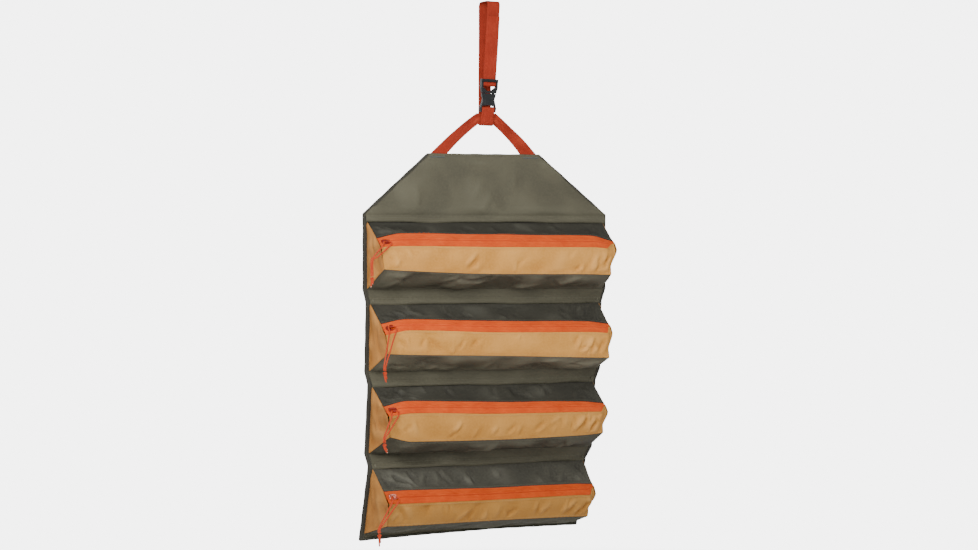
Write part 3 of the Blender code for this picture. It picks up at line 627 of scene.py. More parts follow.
def hard(name, colour, shade, light, roughness, metallic=0.0, shine=0.5):
    """Moulded plastic or painted metal, with a fine grain, random darker patches and small lighter specks;
    on the sliders these are painted shade and painted glints.
    """
    finish = Finish(name, roughness, metallic, shine)
    finish.pattern = finish.node("ShaderNodeTexCoord").outputs["Object"]
    patches = finish.noise(0.012, 4.0)
    base = finish.tint(colour, shade, finish.ramp(patches, 0.4, 0.7, 0.0, 0.5))
    base = finish.tint(base, light, finish.ramp(finish.noise(0.0045, 6.0), 0.58, 0.72, 0.0, 0.55))
    finish.put("Base Color", base)
    finish.put("Roughness", finish.ramp(patches, 0.3, 0.7, roughness - 0.07, roughness + 0.12))
    finish.bump(finish.noise(0.0012), 0.00005, 0.6)
    return finish.material


# %% The roll's finishes
def lit_colour(colour, strength):
    """The same colour made lighter or darker by this share, as painted light and shade."""
    return tuple(min(x * strength, 0.9) for x in colour)


def lit_per_pocket(weave, name, colours, light_shares, *how):
    """Copies of one cloth, one for each pocket, each made lighter or darker: painted light and shade that
    changes from pocket to pocket.
    """
    return [weave(f"{name}_{lot}", *(lit_colour(colour, strength) for colour in colours), *how)
            for lot, strength in enumerate(light_shares, 1)]


OLIVE = canvas("olive_canvas", (0.086, 0.080, 0.052), (0.056, 0.052, 0.034), (0.125, 0.119, 0.080))
# Each pocket's upper cloth is painted lighter or darker: painted light, lightest on the fourth pocket.
DARK_OLIVES = lit_per_pocket(canvas, "dark_canvas",
                       ((0.038, 0.036, 0.027), (0.022, 0.021, 0.016), (0.092, 0.090, 0.070)),
                       (0.85, 1.06, 1.06, 1.62))
# Lit copies of the olive canvas: painted light from below on the lower cloths, strongest on the first two
# pockets.
LIT_LOW_OLIVES = lit_per_pocket(canvas, "lower_canvas",
                      ((0.080, 0.074, 0.050), (0.042, 0.038, 0.026), (0.135, 0.130, 0.092)),
                      (1.25, 1.62, 0.85, 0.80))
# The fronts are painted darker down the roll: painted shade where less light reaches them.
TANS = lit_per_pocket(canvas, "tan_canvas",
                ((0.60, 0.285, 0.060), (0.40, 0.158, 0.020), (0.72, 0.385, 0.112)),
                (1.06, 1.10, 0.93, 0.72), 0.0010)
# Darker copies of the tan canvas: painted shade on the pocket ends.
SHADED_GUSSET_TANS = lit_per_pocket(canvas, "gusset_canvas",
                       ((0.47, 0.205, 0.050), (0.30, 0.105, 0.018), (0.60, 0.300, 0.085)),
                       (1.15, 1.08, 1.0, 0.90), 0.0010)
BINDING = canvas("binding_tape", (0.036, 0.034, 0.025), (0.018, 0.016, 0.012), (0.075, 0.072, 0.055), 0.0009)
# Each zip's tape is painted lighter or darker: painted light and shade, darkest on the fourth pocket.
ZIP_TAPES = lit_per_pocket(ribbed, "zip_tape",
                     ((0.75, 0.097, 0.011), (0.46, 0.036, 0.004), (0.86, 0.155, 0.032)),
                     (0.94, 1.0, 0.97, 0.82), 0.0013, 0.65)
WEBBING = ribbed("orange_webbing", (0.300, 0.027, 0.010), (0.170, 0.013, 0.005), (0.400, 0.052, 0.022),
                 0.0019)
CORD = braid("orange_cord", (0.56, 0.052, 0.010), (0.32, 0.020, 0.004), (0.75, 0.12, 0.035))
OLIVE_THREAD = canvas("olive_thread", (0.13, 0.125, 0.09), (0.08, 0.075, 0.05), (0.2, 0.19, 0.14))
TAN_THREAD = canvas("tan_thread", (0.50, 0.30, 0.12), (0.35, 0.18, 0.06), (0.6, 0.4, 0.2))
SLATE_THREAD = canvas("slate_thread", (0.095, 0.100, 0.090), (0.055, 0.06, 0.055), (0.16, 0.17, 0.16))
RED_THREAD = canvas("red_thread", (0.42, 0.05, 0.02), (0.25, 0.03, 0.01), (0.55, 0.10, 0.05))
BUCKLE = hard("buckle_plastic", (0.010, 0.011, 0.012), (0.006, 0.007, 0.008), (0.026, 0.029, 0.031), 0.42,
              shine=0.22)
# On the sliders the darker colour is painted shade and the lighter one painted glints, both put at random.
SLIDER = hard("slider_paint", (0.26, 0.016, 0.007), (0.07, 0.005, 0.003), (0.72, 0.16, 0.07), 0.28, 0.35)
WORN_SLIDER = hard("slider_worn", (0.62, 0.20, 0.14), (0.40, 0.06, 0.035), (0.85, 0.62, 0.56), 0.22, 0.75)
print(len(bpy.data.materials), "materials")

# %% [markdown]
# ## The pull cords
# Each zip is pulled by a loop of braided cord through the slider's bail, closed by a knot with two
# cut ends under it. The loop is two legs of one cord, so it is drawn as two curves that start inside
# the bail and meet at the knot. A curve object with a round bevel would do, but a mesh tube keeps the
# braid's pattern along it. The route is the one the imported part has, in the pull's own frame: out
# to one side, over the zip's lower edge, and straight down.

# %% Sizes of the zips and the cords
CORNERS = (
    (GAP, 0.0),
    (0.0408, 0.026),
    (0.060, 0.042),
    (0.0515, 0.0815),
    (GAP, POCKET_BACK_HEIGHT),
)
TOP_SEAM, ZIP_TOP, ZIP_FOOT, FRONT_FOOT, LOW_SEAM = range(5)
ZIP_RUN = (CORNERS[ZIP_FOOT][0] - CORNERS[ZIP_TOP][0], CORNERS[ZIP_FOOT][1] - CORNERS[ZIP_TOP][1])
ZIP_BAND = math.hypot(*ZIP_RUN)
ZIP_SLOPE = math.atan2(ZIP_RUN[1], ZIP_RUN[0])
SLIDER_FROM_END = 0.0115
SLIDER_DROOPS = (0.0, 0.0030, -0.0016, 0.0)
BAIL_OUT = 0.0036
BAIL_DROP = 0.00225
CLOTH_THICKNESS = 0.001
CORD_DIAMETER = 0.0024
CORD_STEP = 0.0022
CORD_CLEARANCE = 0.0012
CORD_DRIFT_START = 0.0026
CORD_DROPS = (0.055, 0.070, 0.049, 0.055)
CORD_DRIFTS = (-0.029, -0.0155, -0.0225, -0.034)
CORD_PLUMB_RUNS = (0.025, 0.007, 0.007, 0.007)
CORD_TAILS = (0.009, 0.010, 0.008, 0.013)
KNOT_LENGTH = 0.0085
KNOT_SCALE = (0.00068, 0.0011, 0.00105)


def zip_point(along, out):
    """(depth, drop) at this distance down the zip's band from its top edge, and out from its inner face."""
    depth = CORNERS[ZIP_TOP][0] + along * math.cos(ZIP_SLOPE) + out * math.sin(ZIP_SLOPE)
    drop = CORNERS[ZIP_TOP][1] + along * math.sin(ZIP_SLOPE) - out * math.cos(ZIP_SLOPE)
    return depth, drop


BAIL_DEPTH_DROP = zip_point(ZIP_BAND / 2 + BAIL_DROP, BAIL_OUT)
CORD_OVER = (CORNERS[ZIP_FOOT][0] + CLOTH_THICKNESS + CORD_DIAMETER / 2 + CORD_CLEARANCE
             - BAIL_DEPTH_DROP[0])
CORD_EDGE = CORNERS[ZIP_FOOT][1] - BAIL_DEPTH_DROP[1]


def pull_frame(number):
    """The pull's own frame: at its bail, upright, and turned with its section."""
    place = pocket_place(number, -HALF_POCKET + SLIDER_FROM_END, *BAIL_DEPTH_DROP)
    turn = math.radians(SECTION_TURNS[number - 1])
    return Matrix.Translation(Vector(place)) @ Matrix.Rotation(turn, 4, "Z")


def in_frame(matrix, points):
    points = np.asarray(points, float)
    turn = np.array(matrix.to_3x3())
    return points @ turn.T + np.array(matrix.translation)


def cord_leg(number, hand):
    """Places along one leg of the loop, from inside the bail to the knot."""
    drop = CORD_DROPS[number - 1]
    drift = CORD_DRIFTS[number - 1]
    plumb = drop - CORD_PLUMB_RUNS[number - 1]
    leg = np.array([
        (0.0000, 0.0000, 0.0000),
        (0.0036, 0.0000, 0.0000),
        (0.0062, 0.0018, 0.0006),
        (0.0068, 0.0050, 0.0026),
        (0.0058, CORD_OVER, CORD_EDGE - 0.001),
        (0.0046, CORD_OVER, CORD_EDGE + 0.010),
        (0.0030, CORD_OVER, (CORD_EDGE + 0.010 + plumb) / 2),
        (0.0014, CORD_OVER, plumb),
        (0.0014, CORD_OVER, drop),
    ])
    side, out, down = leg.T
    share = np.clip((down - CORD_DRIFT_START) / (plumb - CORD_DRIFT_START), 0, 1)
    points = points_at(hand * side + drift * share, -out, -down)
    return in_frame(pull_frame(number), smooth_line(points, CORD_STEP))


def knot_line():
    """An overhand knot's own curve, drawn up tight."""
    t = full_turn(60)
    across = np.sin(t) + 2 * np.sin(2 * t)
    down = np.cos(t) - 2 * np.cos(2 * t)
    through = -np.sin(3 * t)
    return points_at(across, through, down) * KNOT_SCALE


# %% Lay the cords and tie the knots
PALE_TIP = canvas("cut_cord_tip", (0.62, 0.36, 0.26), (0.45, 0.20, 0.12), (0.75, 0.55, 0.45))
DARK_TIP = canvas("sealed_cord_tip", (0.16, 0.020, 0.012), (0.10, 0.012, 0.008), (0.25, 0.05, 0.03))
TIPS = (PALE_TIP, CORD, PALE_TIP, DARK_TIP)
TAIL_LEANS = (-0.12, 0.25, 0.62, 0.05)
KNOT_STRAND_RADIUS = 0.00115
TAIL_RADIUS = 0.00118
TIP_RADII = (0.00122, 0.0008)
TAIL_BEHIND = 0.0006
TAIL_SIDES = (-0.0010, 0.0012)
TAIL_HIDDEN = 0.002
SHORT_TAIL_SHARE = 0.72


def pull_cord(number):
    frame_here = pull_frame(number)
    top = np.array((CORD_DRIFTS[number - 1], -CORD_OVER, -CORD_DROPS[number - 1] - GAP))
    middle = top - (0, 0, KNOT_LENGTH / 2)
    knot = tube(f"pull_{number}_knot", in_frame(frame_here, knot_line() + middle), KNOT_STRAND_RADIUS, CORD,
                closed=True)
    tail = CORD_TAILS[number - 1]
    share = np.linspace(0, 1, 9)
    strands = []
    lengths = (tail + TAIL_HIDDEN, tail * SHORT_TAIL_SHARE)
    for name, aside, reach in zip(("tail", "short_tail"), TAIL_SIDES, lengths):
        ends = points_at(aside + TAIL_LEANS[number - 1] * reach * share**1.5, -TAIL_BEHIND * share,
                         -KNOT_LENGTH * 0.7 - reach * share)
        ends = in_frame(frame_here, top + ends)
        strands.append(tube(f"pull_{number}_{name}", ends[:8], TAIL_RADIUS, CORD))
        strands.append(tube(f"pull_{number}_{name}_tip", ends[7:], TIP_RADII, TIPS[number - 1]))
    for piece in (knot, *strands):
        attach(piece, f"pull_{number}")
    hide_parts(f"zipper_{number}_cord_knot")
    for side, hand in HANDS.items():
        points = cord_leg(number, hand)
        leg = tube(f"pull_{number}_{side}_leg", points, CORD_DIAMETER / 2, CORD, 12)
        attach(leg, f"pull_{number}")
        if hand < 0:
            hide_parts(f"zipper_{number}_cord")


for pocket in POCKETS:
    pull_cord(pocket)

# %% [markdown]
# ## The panel's back cloth and the folds between sections
# Behind, the roll is one length of canvas over a stiffener, sewn through at every pocket. It folds
# at the line above each pocket. A rigid panel for each section would tear there, so each length
# starts a little above its fold. Each length is laid in its rest shape and rides no body.

# %% Back cloth
BLEND_ABOVE_FOLD = 0.009
CLOTH_STEP = 0.003
BACK_COLUMNS = 145
BACK_INSET = 0.0012
SEAM_GROOVE = 0.0006


def bend_at_fold(piece):
    """The piece keeps its rest shape: its placement is baked into its mesh, and it rides no body."""
    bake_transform(piece)


def steps(start, end):
    return np.linspace(start, end, max(int(round((end - start) / CLOTH_STEP)), 2) + 1)


def section_ends(number):
    """The drops at which a section's own cloths start and end."""
    starts = [fold_drop(pocket) - BLEND_ABOVE_FOLD for pocket in POCKETS] + [PANEL_END]
    return starts[number - 1], starts[number]


def half_at(drop):
    """Half the panel's width: its head widens down to the shoulders."""
    share = np.clip(drop / SHOULDER_DROP, 0, 1)
    return HEAD_TOP_WIDTH / 2 + share * (HALF_PANEL - HEAD_TOP_WIDTH / 2)


def sewn_through(side, drop, seed):
    """Puckers in the back cloth beside every line where a pocket is sewn through the panel."""
    total = waves(side, drop, seed, 0.09, 0.0004)
    for number in POCKETS:
        for line in (seam_drop(number), low_seam_drop(number)):
            total += puckers(side, drop - line, seed + number, 0.00035, 0.009)
            total -= SEAM_GROOVE * bell(drop, line, 0.0016)
    return total


def back_cloth(name, top, foot, seed, node):
    drop = steps(top, foot)[:, None]
    share = np.linspace(-1, 1, BACK_COLUMNS)[None, :]
    side = share * (half_at(drop) - BACK_INSET)
    relief = sewn_through(side, drop, seed)
    bend = -0.5 * relief * held_edges((share + 1) / 2, 0.02)
    places = hang(side, -PANEL_THICKNESS / 2 + bend, drop)
    half = PANEL_THICKNESS / 2
    piece = cloth(name, places, (side, drop), OLIVE, -half - 0.0004, half, relief * 0.8)
    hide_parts(node)
    return piece


head_height = section_ends(1)[0]
back = back_cloth("head_back_cloth", 0.001, head_height, 11, "head_back_panel")
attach(back, "head")
for pocket in POCKETS:
    highest, lowest = section_ends(pocket)
    back = back_cloth(f"section_{pocket}_back_cloth", highest, lowest, 11 + pocket, f"back_panel_{pocket}")
    bend_at_fold(back)

# %% [markdown]
# ## The pockets
# A pocket is a bag sewn to the panel: a dark upper cloth slopes forward and down to the zip, a tan
# front hangs from it, an olive lower cloth runs back under it, and a tan gusset closes each end. A
# simulation could fill it with air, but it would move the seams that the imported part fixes. So each
# cloth is laid between two seam lines and given its own relief, which fades to nothing at the seams
# where it joins the next one. The seam lines are nearly straight: the zip climbs a little between
# its ends and turns down at its right one, and a front's foot may sag.

# %% Seam lines
# How far each long seam stands above its straight line: at its left end, beside the slider, in the
# middle, before its right end and at its right end, in metres. One row for each pocket.
ZIP_TOP_RISES = (
    (-0.0015, 0.0062, 0.0046, 0.0030, -0.0060),
    (-0.0040, 0.0026, -0.0015, -0.0036, -0.0080),
    (-0.0015, 0.0060, 0.0010, -0.0020, -0.0062),
    (-0.0015, -0.0012, -0.0040, -0.0042, -0.0062),
)
ZIP_FOOT_RISES = (
    (0.0010, 0.0026, 0.0010, 0.0006, -0.0030),
    (-0.0040, 0.0030, -0.0020, -0.0034, -0.0058),
    (0.0020, 0.0060, 0.0012, 0.0000, -0.0004),
    (0.0000, -0.0006, -0.0018, -0.0014, -0.0030),
)
FRONT_FOOT_RISES = (
    (0.0052, 0.0028, -0.0026, -0.0034, -0.0050),
    (0.0050, 0.0034, -0.0006, -0.0056, -0.0070),
    (0.0068, -0.0010, -0.0026, 0.0000, 0.0026),
    (0.0000, -0.0004, 0.0002, -0.0010, -0.0020),
)
STATIONS = (-1.0, -0.80, 0.0, 0.80, 1.0)
SEAM_RISES = {ZIP_TOP: ZIP_TOP_RISES, ZIP_FOOT: ZIP_FOOT_RISES, FRONT_FOOT: FRONT_FOOT_RISES}
ZIP_PINCH_RUNS = (0.018, 0.011, 0.013, 0.014)
ZIP_PINCH = 0.72
RIGHT_PULLS = {ZIP_TOP: (0.000, 0.003, 0.001, 0.004), ZIP_FOOT: (0.003, 0.004, 0.005, 0.007),
               FRONT_FOOT: (0.000, -0.003, -0.002, 0.004)}


def rise_of(number, corner, share):
    """The height of a seam above its straight line, smooth between the stations."""
    rises = SEAM_RISES.get(corner)
    if rises is None:
        return 0.0 * share
    return smooth_through(STATIONS, rises[number - 1], share)


def seam_line(number, corner, share):
    """(side, depth, drop) along a long seam of the pocket, for a share from -1 at its left end to 1."""
    half = HALF_POCKET - (FOOT_CORNER_INSET if corner == FRONT_FOOT else 0)
    pull = RIGHT_PULLS[corner][number - 1] if corner in RIGHT_PULLS else 0.0
    side = share * half - pull * ease((share - 0.5) / 0.5)
    depth, drop = CORNERS[corner]
    drop = drop - rise_of(number, corner, share)
    if corner == ZIP_FOOT:
        pinch = ZIP_PINCH * ease(1 - (1 - share) * half / ZIP_PINCH_RUNS[number - 1])
        top = seam_line(number, ZIP_TOP, share)
        side, depth, drop = (a + (b - a) * pinch for a, b in zip((side, depth, drop), top))
    return side, depth, drop


def between_seams(number, start, end, across, down):
    """Places between two seams, at these shares across and down: (side, depth, drop)."""
    a = seam_line(number, start, across)
    b = seam_line(number, end, across)
    return tuple(p + (q - p) * down for p, q in zip(a, b))


def run_of(start, end):
    run = np.array(CORNERS[end]) - np.array(CORNERS[start])
    return run, float(np.linalg.norm(run))


def raised(start, end, places, height):
    """The same places, stood off by this height on the pocket's outside."""
    side, depth, drop = places
    run, length = run_of(start, end)
    return side, depth + height * run[1] / length, drop - height * run[0] / length


def laid(number, start, end, across, down, height):
    """Places between two seams, stood off by this height."""
    return raised(start, end, between_seams(number, start, end, across, down), height)


# %% Full shape of each cloth
UPPER_SAG = 0.0035
FRONT_BELLY = (0.0030, 0.0030, 0.0035, 0.0030)
LOWER_BELLY = (0.0035, 0.0030, 0.0075, 0.0020)
RIGHT_NOSES = (0.0062, 0.0052, 0.0052, 0.0058)
NOSE_SHIFT = 0.0012
WAIST_SHIFT = 0.0018


def upper_shape(number, across, down):
    sag = -UPPER_SAG * 4 * down * (1 - down) * (1 - across**8)
    return laid(number, TOP_SEAM, ZIP_TOP, across, down, sag)


def front_shape(number, across, down):
    """The front is full in its middle, and at its right end it is pushed out round the end of the zip."""
    nose_place = ease((across - 0.90) / 0.10) * bell(down, 0.24, 0.26) * ease(down / 0.16)
    waist = ease((across - 0.93) / 0.07) * bell(down, 0.72, 0.14)
    belly = FRONT_BELLY[number - 1] * np.sin(math.pi * down) * (1 - across**10)
    belly = belly + RIGHT_NOSES[number - 1] * nose_place
    side, depth, drop = laid(number, ZIP_FOOT, FRONT_FOOT, across, down, belly)
    return side + NOSE_SHIFT * nose_place - WAIST_SHIFT * waist, depth, drop


def lower_shape(number, across, down):
    belly = LOWER_BELLY[number - 1] * np.sin(math.pi * down**0.8) * (1 - across**6)
    return laid(number, FRONT_FOOT, LOW_SEAM, across, down, belly)


def shares(columns, rows, first=0.0, last=1.0):
    """Shares across and down a cloth's grid. Columns are closer together at its ends, where it crumples."""
    t = np.linspace(-1, 1, columns)
    across = (t + 0.22 * np.sin(math.pi * t) / math.pi)[None, :]
    down = np.linspace(first, last, rows)[:, None]
    return across + 0 * down, down + 0 * across


def hem(distance, width=0.004, tall=0.0007):
    """The doubled edge of a cloth, which ends in a small step."""
    return tall * ease((width - distance) / 0.0012 + 0.5)


# %% Creases that can be counted
# Each is (side, distance down the cloth, tilt, half its length, width, height), by pocket.
UPPER_CREASES = {
    1: ((-0.190, 0.034, 1.25, 0.022, 0.0050, 0.0022), (-0.196, 0.022, 0.55, 0.014, 0.0040, 0.0018)),
    2: ((-0.192, 0.036, 1.20, 0.020, 0.0045, 0.0020), (-0.170, 0.030, 0.80, 0.018, 0.0045, -0.0016)),
    3: ((-0.188, 0.034, 1.15, 0.024, 0.0050, 0.0022), (-0.160, 0.028, 0.90, 0.022, 0.0050, -0.0018)),
    4: ((-0.165, 0.026, 0.99, 0.032, 0.0050, -0.0026), (-0.182, 0.034, 1.15, 0.026, 0.0045, -0.0022),
        (-0.142, 0.018, 0.60, 0.012, 0.0040, -0.0018), (-0.082, 0.020, 0.50, 0.016, 0.0045, -0.0018),
        (0.150, 0.030, -0.70, 0.020, 0.0050, 0.0016)),
}
FRONT_CREASES = {
    1: ((0.168, 0.020, -0.60, 0.020, 0.0042, 0.0013), (0.190, 0.024, -0.45, 0.016, 0.0038, -0.0020),
        (-0.052, 0.018, -0.75, 0.020, 0.0042, 0.0021), (-0.046, 0.026, -0.75, 0.018, 0.0050, -0.0018),
        (-0.160, 0.012, 0.50, 0.014, 0.0040, 0.0014)),
    2: ((0.160, 0.020, -0.55, 0.020, 0.0045, 0.0020), (0.186, 0.022, -0.40, 0.018, 0.0040, -0.0020),
        (-0.120, 0.022, 1.0, 0.022, 0.0050, -0.0012)),
    3: ((0.150, 0.018, -0.60, 0.022, 0.0045, 0.0020), (0.180, 0.022, -0.50, 0.018, 0.0042, -0.0022),
        (-0.160, 0.020, 0.50, 0.016, 0.0045, 0.0014), (-0.085, 0.022, -0.80, 0.018, 0.0045, 0.0018),
        (0.075, 0.020, -0.90, 0.018, 0.0045, -0.0017), (0.020, 0.024, -0.85, 0.016, 0.0042, -0.0014)),
    4: ((-0.060, 0.022, -0.85, 0.018, 0.0045, 0.0018), (0.035, 0.026, -0.80, 0.018, 0.0048, -0.0018),
        (0.100, 0.020, -0.80, 0.018, 0.0045, 0.0016), (-0.180, 0.016, 0.72, 0.024, 0.0058, -0.0026),
        (-0.196, 0.024, -0.60, 0.014, 0.0040, 0.0016), (0.150, 0.020, -0.70, 0.022, 0.0050, 0.0020),
        (0.184, 0.022, -0.45, 0.018, 0.0042, -0.0022)),
}


# Bunches of short folds: a step for the seed, the count, the sides and distances down between which
# they lie, half their length, their width, height and tilt.
UPPER_BUNCHES = (
    (0, 14, (-0.2, 0.2), (0.01, 0.04), 0.018, 0.0055, 0.0021),
    (20, 10, (-0.205, -0.14), (0.02, 0.046), 0.016, 0.0038, 0.0024, 0.9),
    (40, 6, (0.16, 0.205), (0.01, 0.046), 0.016, 0.004, 0.0021, -0.5),
)
FRONT_FOLD_COUNTS = (6, 8, 14, 12)
FRONT_SCATTER = ((-0.18, 0.2), (0.006, 0.034), 0.015, 0.0040, 0.0022, -0.35)
FRONT_BUNCHES = (
    (30, 8, (0.13, 0.2), (0.006, 0.034), 0.015, 0.0036, 0.0024, -0.45),
    (60, 4, (-0.2, -0.17), (0.006, 0.03), 0.013, 0.004, 0.0014, 0.4),
)
LOWER_BUNCHES = (
    (0, 11, (-0.18, 0.19), (0.01, 0.045), 0.026, 0.0055, 0.0030, -1.0),
    (30, 7, (-0.2, 0.2), (0.005, 0.05), 0.02, 0.005, 0.0022, 0.9),
)


def creases(side, down, rows):
    total = 0.0 * side
    for row in rows:
        total = total + fold(side, down, *row)
    return total


def crumpled(side, down, seed, length, height, bunches, rows=(), strength=1.0):
    """Waves of this length and height, bunches of folds, and creases of this strength."""
    relief = waves(side, down, seed, length, height)
    for step, *bunch in bunches:
        relief = relief + folds(side, down, seed + step, *bunch)
    return relief + strength * creases(side, down, rows)


# %% Upper, front and lower cloths
COLUMNS = 200
UPPER_CREASE_STRENGTH = 1.2
FRONT_CREASE_STRENGTH = 1.3
CLOTH_FINISHES = {
    "upper": (DARK_OLIVES, "dark_canvas"),
    "front": (TANS, "tan_canvas"),
    "lower": (LIT_LOW_OLIVES, "dark_canvas"),
}


def pocket_piece(number, name, seams, shape, relief, down, outer):
    """A cloth of the pocket: its full shape, with a relief that stands on it and also paints shade and
    highlight on it.
    """
    side, depth, drop = raised(*seams, shape, relief)
    materials, slot = CLOTH_FINISHES[name]
    piece = cloth(f"pocket_{number}_{name}_cloth", pocket_place(number, side, depth, drop),
                  (side, down * run_of(*seams)[1]), materials[number - 1], 0.0, outer, relief)
    if name == "upper":
        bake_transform(piece)
    else:
        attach(piece, f"section_{number}")
    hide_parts(f"pocket_{number}_{name}_panel")


def laid_out(number, seams, shape_of, rows):
    """A cloth's grid of shares across and down, its full shape, its places down, and its length down."""
    across, down = shares(COLUMNS, rows)
    length = run_of(*seams)[1]
    return across, down, shape_of(number, across, down), down * length, length


def upper_cloth(number):
    seams = (TOP_SEAM, ZIP_TOP)
    across, down, shape, flat_down, length = laid_out(number, seams, upper_shape, 28)
    side = shape[0]
    seed = 100 + number
    relief = crumpled(side, flat_down, seed, 0.075, 0.0011, UPPER_BUNCHES, UPPER_CREASES[number],
                      UPPER_CREASE_STRENGTH)
    relief = relief * held_edges(down, 0.25) * held_edges((across + 1) / 2, 0.04)
    relief = relief + puckers(side, (1 - down) * length - 0.002, seed, 0.00022)
    outer = CLOTH_THICKNESS + hem((1 - down) * length)
    pocket_piece(number, "upper", seams, shape, relief, down, outer)


def front_cloth(number):
    seams = (ZIP_FOOT, FRONT_FOOT)
    across, down, shape, flat_down, length = laid_out(number, seams, front_shape, 30)
    side = shape[0]
    seed = 200 + number
    bunches = ((0, FRONT_FOLD_COUNTS[number - 1], *FRONT_SCATTER), *FRONT_BUNCHES)
    relief = crumpled(side, flat_down, seed, 0.06, 0.0006, bunches, FRONT_CREASES[number],
                      FRONT_CREASE_STRENGTH)
    relief = relief * held_edges(down, 0.22) * held_edges((across + 1) / 2, 0.02)
    relief = relief + puckers(side, flat_down - 0.002, seed, 0.0002)
    relief = relief + puckers(side, length - flat_down - 0.001, seed + 5, 0.00025)
    outer = CLOTH_THICKNESS + hem(flat_down, 0.0035, 0.0006)
    pocket_piece(number, "front", seams, shape, relief, down, outer)


def lower_cloth(number):
    seams = (FRONT_FOOT, LOW_SEAM)
    across, down, shape, flat_down, _ = laid_out(number, seams, lower_shape, 30)
    side = shape[0]
    seed = 300 + number
    relief = crumpled(side, flat_down, seed, 0.08, 0.0015, LOWER_BUNCHES)
    relief = relief * held_edges(down, 0.2) * held_edges((across + 1) / 2, 0.03)
    relief = relief + puckers(side, flat_down - 0.001, seed, 0.00025)
    pocket_piece(number, "lower", seams, shape, relief, down, CLOTH_THICKNESS)


for pocket in POCKETS:
    upper_cloth(pocket)
    front_cloth(pocket)
    lower_cloth(pocket)
print("pocket cloths made")

# %% [markdown]
# ## The gussets
# A gusset is a five-cornered cloth in the pocket's end. It is laid between the back seam, which is
# straight, and the bent line round the pocket's mouth, front and foot, and it bulges where the
# pocket is full. A fan of triangles from its middle would crease it, so rows run from the back seam
# to the bent line instead.

# %% Left and right gussets
GUSSET_BULGE = {-1: (0.0020, 0.0025, 0.0030, 0.0025), 1: (0.0045, 0.0040, 0.0040, 0.0045)}
GUSSET_PARTS = (0.0, 0.30, 0.42, 0.70, 1.0)


def mouth_line(number, hand, down):
    """The bent line of a pocket's end, down its upper cloth, zip, front and lower cloth."""
    hand = float(hand)
    shapes = (upper_shape, lambda n, a, t: between_seams(n, ZIP_TOP, ZIP_FOOT, a, t), front_shape,
              lower_shape)
    line = np.zeros((len(down), 3))
    for shape, start, end in zip(shapes, GUSSET_PARTS, GUSSET_PARTS[1:]):
        here = (down >= start) & (down <= end)
        share = (down[here] - start) / (end - start)
        line[here] = points_at(*shape(number, hand, share))
    return line


def gusset(number, name, hand):
    parts = [np.linspace(a, b, 13) for a, b in zip(GUSSET_PARTS, GUSSET_PARTS[1:])]
    down = np.unique(np.concatenate(parts))
    front = mouth_line(number, hand, down)
    back = points_at(hand * HALF_POCKET, GAP, down * POCKET_BACK_HEIGHT)
    out = np.linspace(0, 1, 22)
    grid = back[:, None] + (front - back)[:, None] * out[None, :, None]
    side, depth, drop = np.moveaxis(grid, -1, 0)
    shape = np.sin(math.pi * down)[:, None] * np.sin(math.pi * out**0.8)[None, :]
    nose = bell(drop, 0.040, 0.014) * ease((depth - 0.030) / 0.022)
    held = held_edges(down, 0.1)[:, None] * held_edges(out, 0.12)[None, :]
    seed = 400 + 10 * number + hand
    relief = waves(depth, drop, seed, 0.035, 0.0010)
    relief = relief + folds(depth, drop, seed, 7, (0.01, 0.055), (0.02, 0.09), 0.022, 0.0035, 0.0017, 0.15)
    relief = relief * held
    bulge = GUSSET_BULGE[hand][number - 1]
    side = side + hand * (0.0006 + bulge * shape + bulge * 0.7 * nose + relief)
    places = pocket_place(number, side, depth, drop)
    flat = (depth, drop)
    if hand > 0:
        places = places[:, ::-1]
        flat = (depth[:, ::-1], drop[:, ::-1])
        relief = relief[:, ::-1]
    piece = cloth(f"pocket_{number}_{name}_gusset_cloth", places, flat, SHADED_GUSSET_TANS[number - 1],
                  -0.0004, 0.0006, relief)
    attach(piece, f"section_{number}")
    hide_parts(f"pocket_{number}_{name}_gusset")


for pocket in POCKETS:
    for word, hand in HANDS.items():
        gusset(pocket, word, hand)
print("gussets made")

# %% [markdown]
# ## The zips
# The zip is the reverse-coil kind: from outside only two flat tapes show, meeting in a thin dark
# line, and the teeth are behind. The upper tape is sewn to the upper cloth and rides the flap; the
# lower one is sewn to the front and rides the section. The tapes reach a little way under the hems
# beside them.

# %% Zip tapes
TAPE_UNDER = 0.0025
TAPE_THICKNESS = 0.0008
SLOT_HALF = 0.00022
ZIP_SIDES = {"upper": "flap", "lower": "section"}


def tape(number, name):
    upper = name == "upper"
    under = TAPE_UNDER / ZIP_BAND
    slot = SLOT_HALF / ZIP_BAND
    first, last = (-under, 0.5 - slot) if upper else (0.5 + slot, 1.0)
    seams = (ZIP_TOP, ZIP_FOOT)
    across, down = shares(COLUMNS, 14, first, last)
    places = between_seams(number, *seams, across, down)
    from_slot = np.abs(down - 0.5) * ZIP_BAND
    height = 0.0006 * bell(from_slot, 0.0022, 0.0015) - 0.0009 * bell(from_slot, 0, 0.0008)
    height = height + 0.00025 * np.sin(places[0] / 0.021 + number) * ease(from_slot / 0.006)
    beyond = np.clip(np.abs(down - 0.5) - 0.5, 0, 1) * ZIP_BAND
    side, depth, drop = raised(*seams, places, height - beyond * 0.25)
    places = pocket_place(number, side, depth, drop)
    # Painted shade along the slot where the tapes meet, and a faint darker line where each tape is stitched.
    painted_shading = 0.0002 - 0.0015 * bell(from_slot, 0, 0.0010) - 0.0004 * bell(from_slot, 0.0046, 0.0006)
    piece = cloth(f"zip_{number}_{name}_tape", places, (down * ZIP_BAND, side), ZIP_TAPES[number - 1],
                  -0.0002, TAPE_THICKNESS - 0.0002, painted_shading)
    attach(piece, f"{ZIP_SIDES[name]}_{number}")
    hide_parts(f"zipper_{number}_{name}_tape")


for pocket in POCKETS:
    for name in ZIP_SIDES:
        tape(pocket, name)
print("zip tapes made")

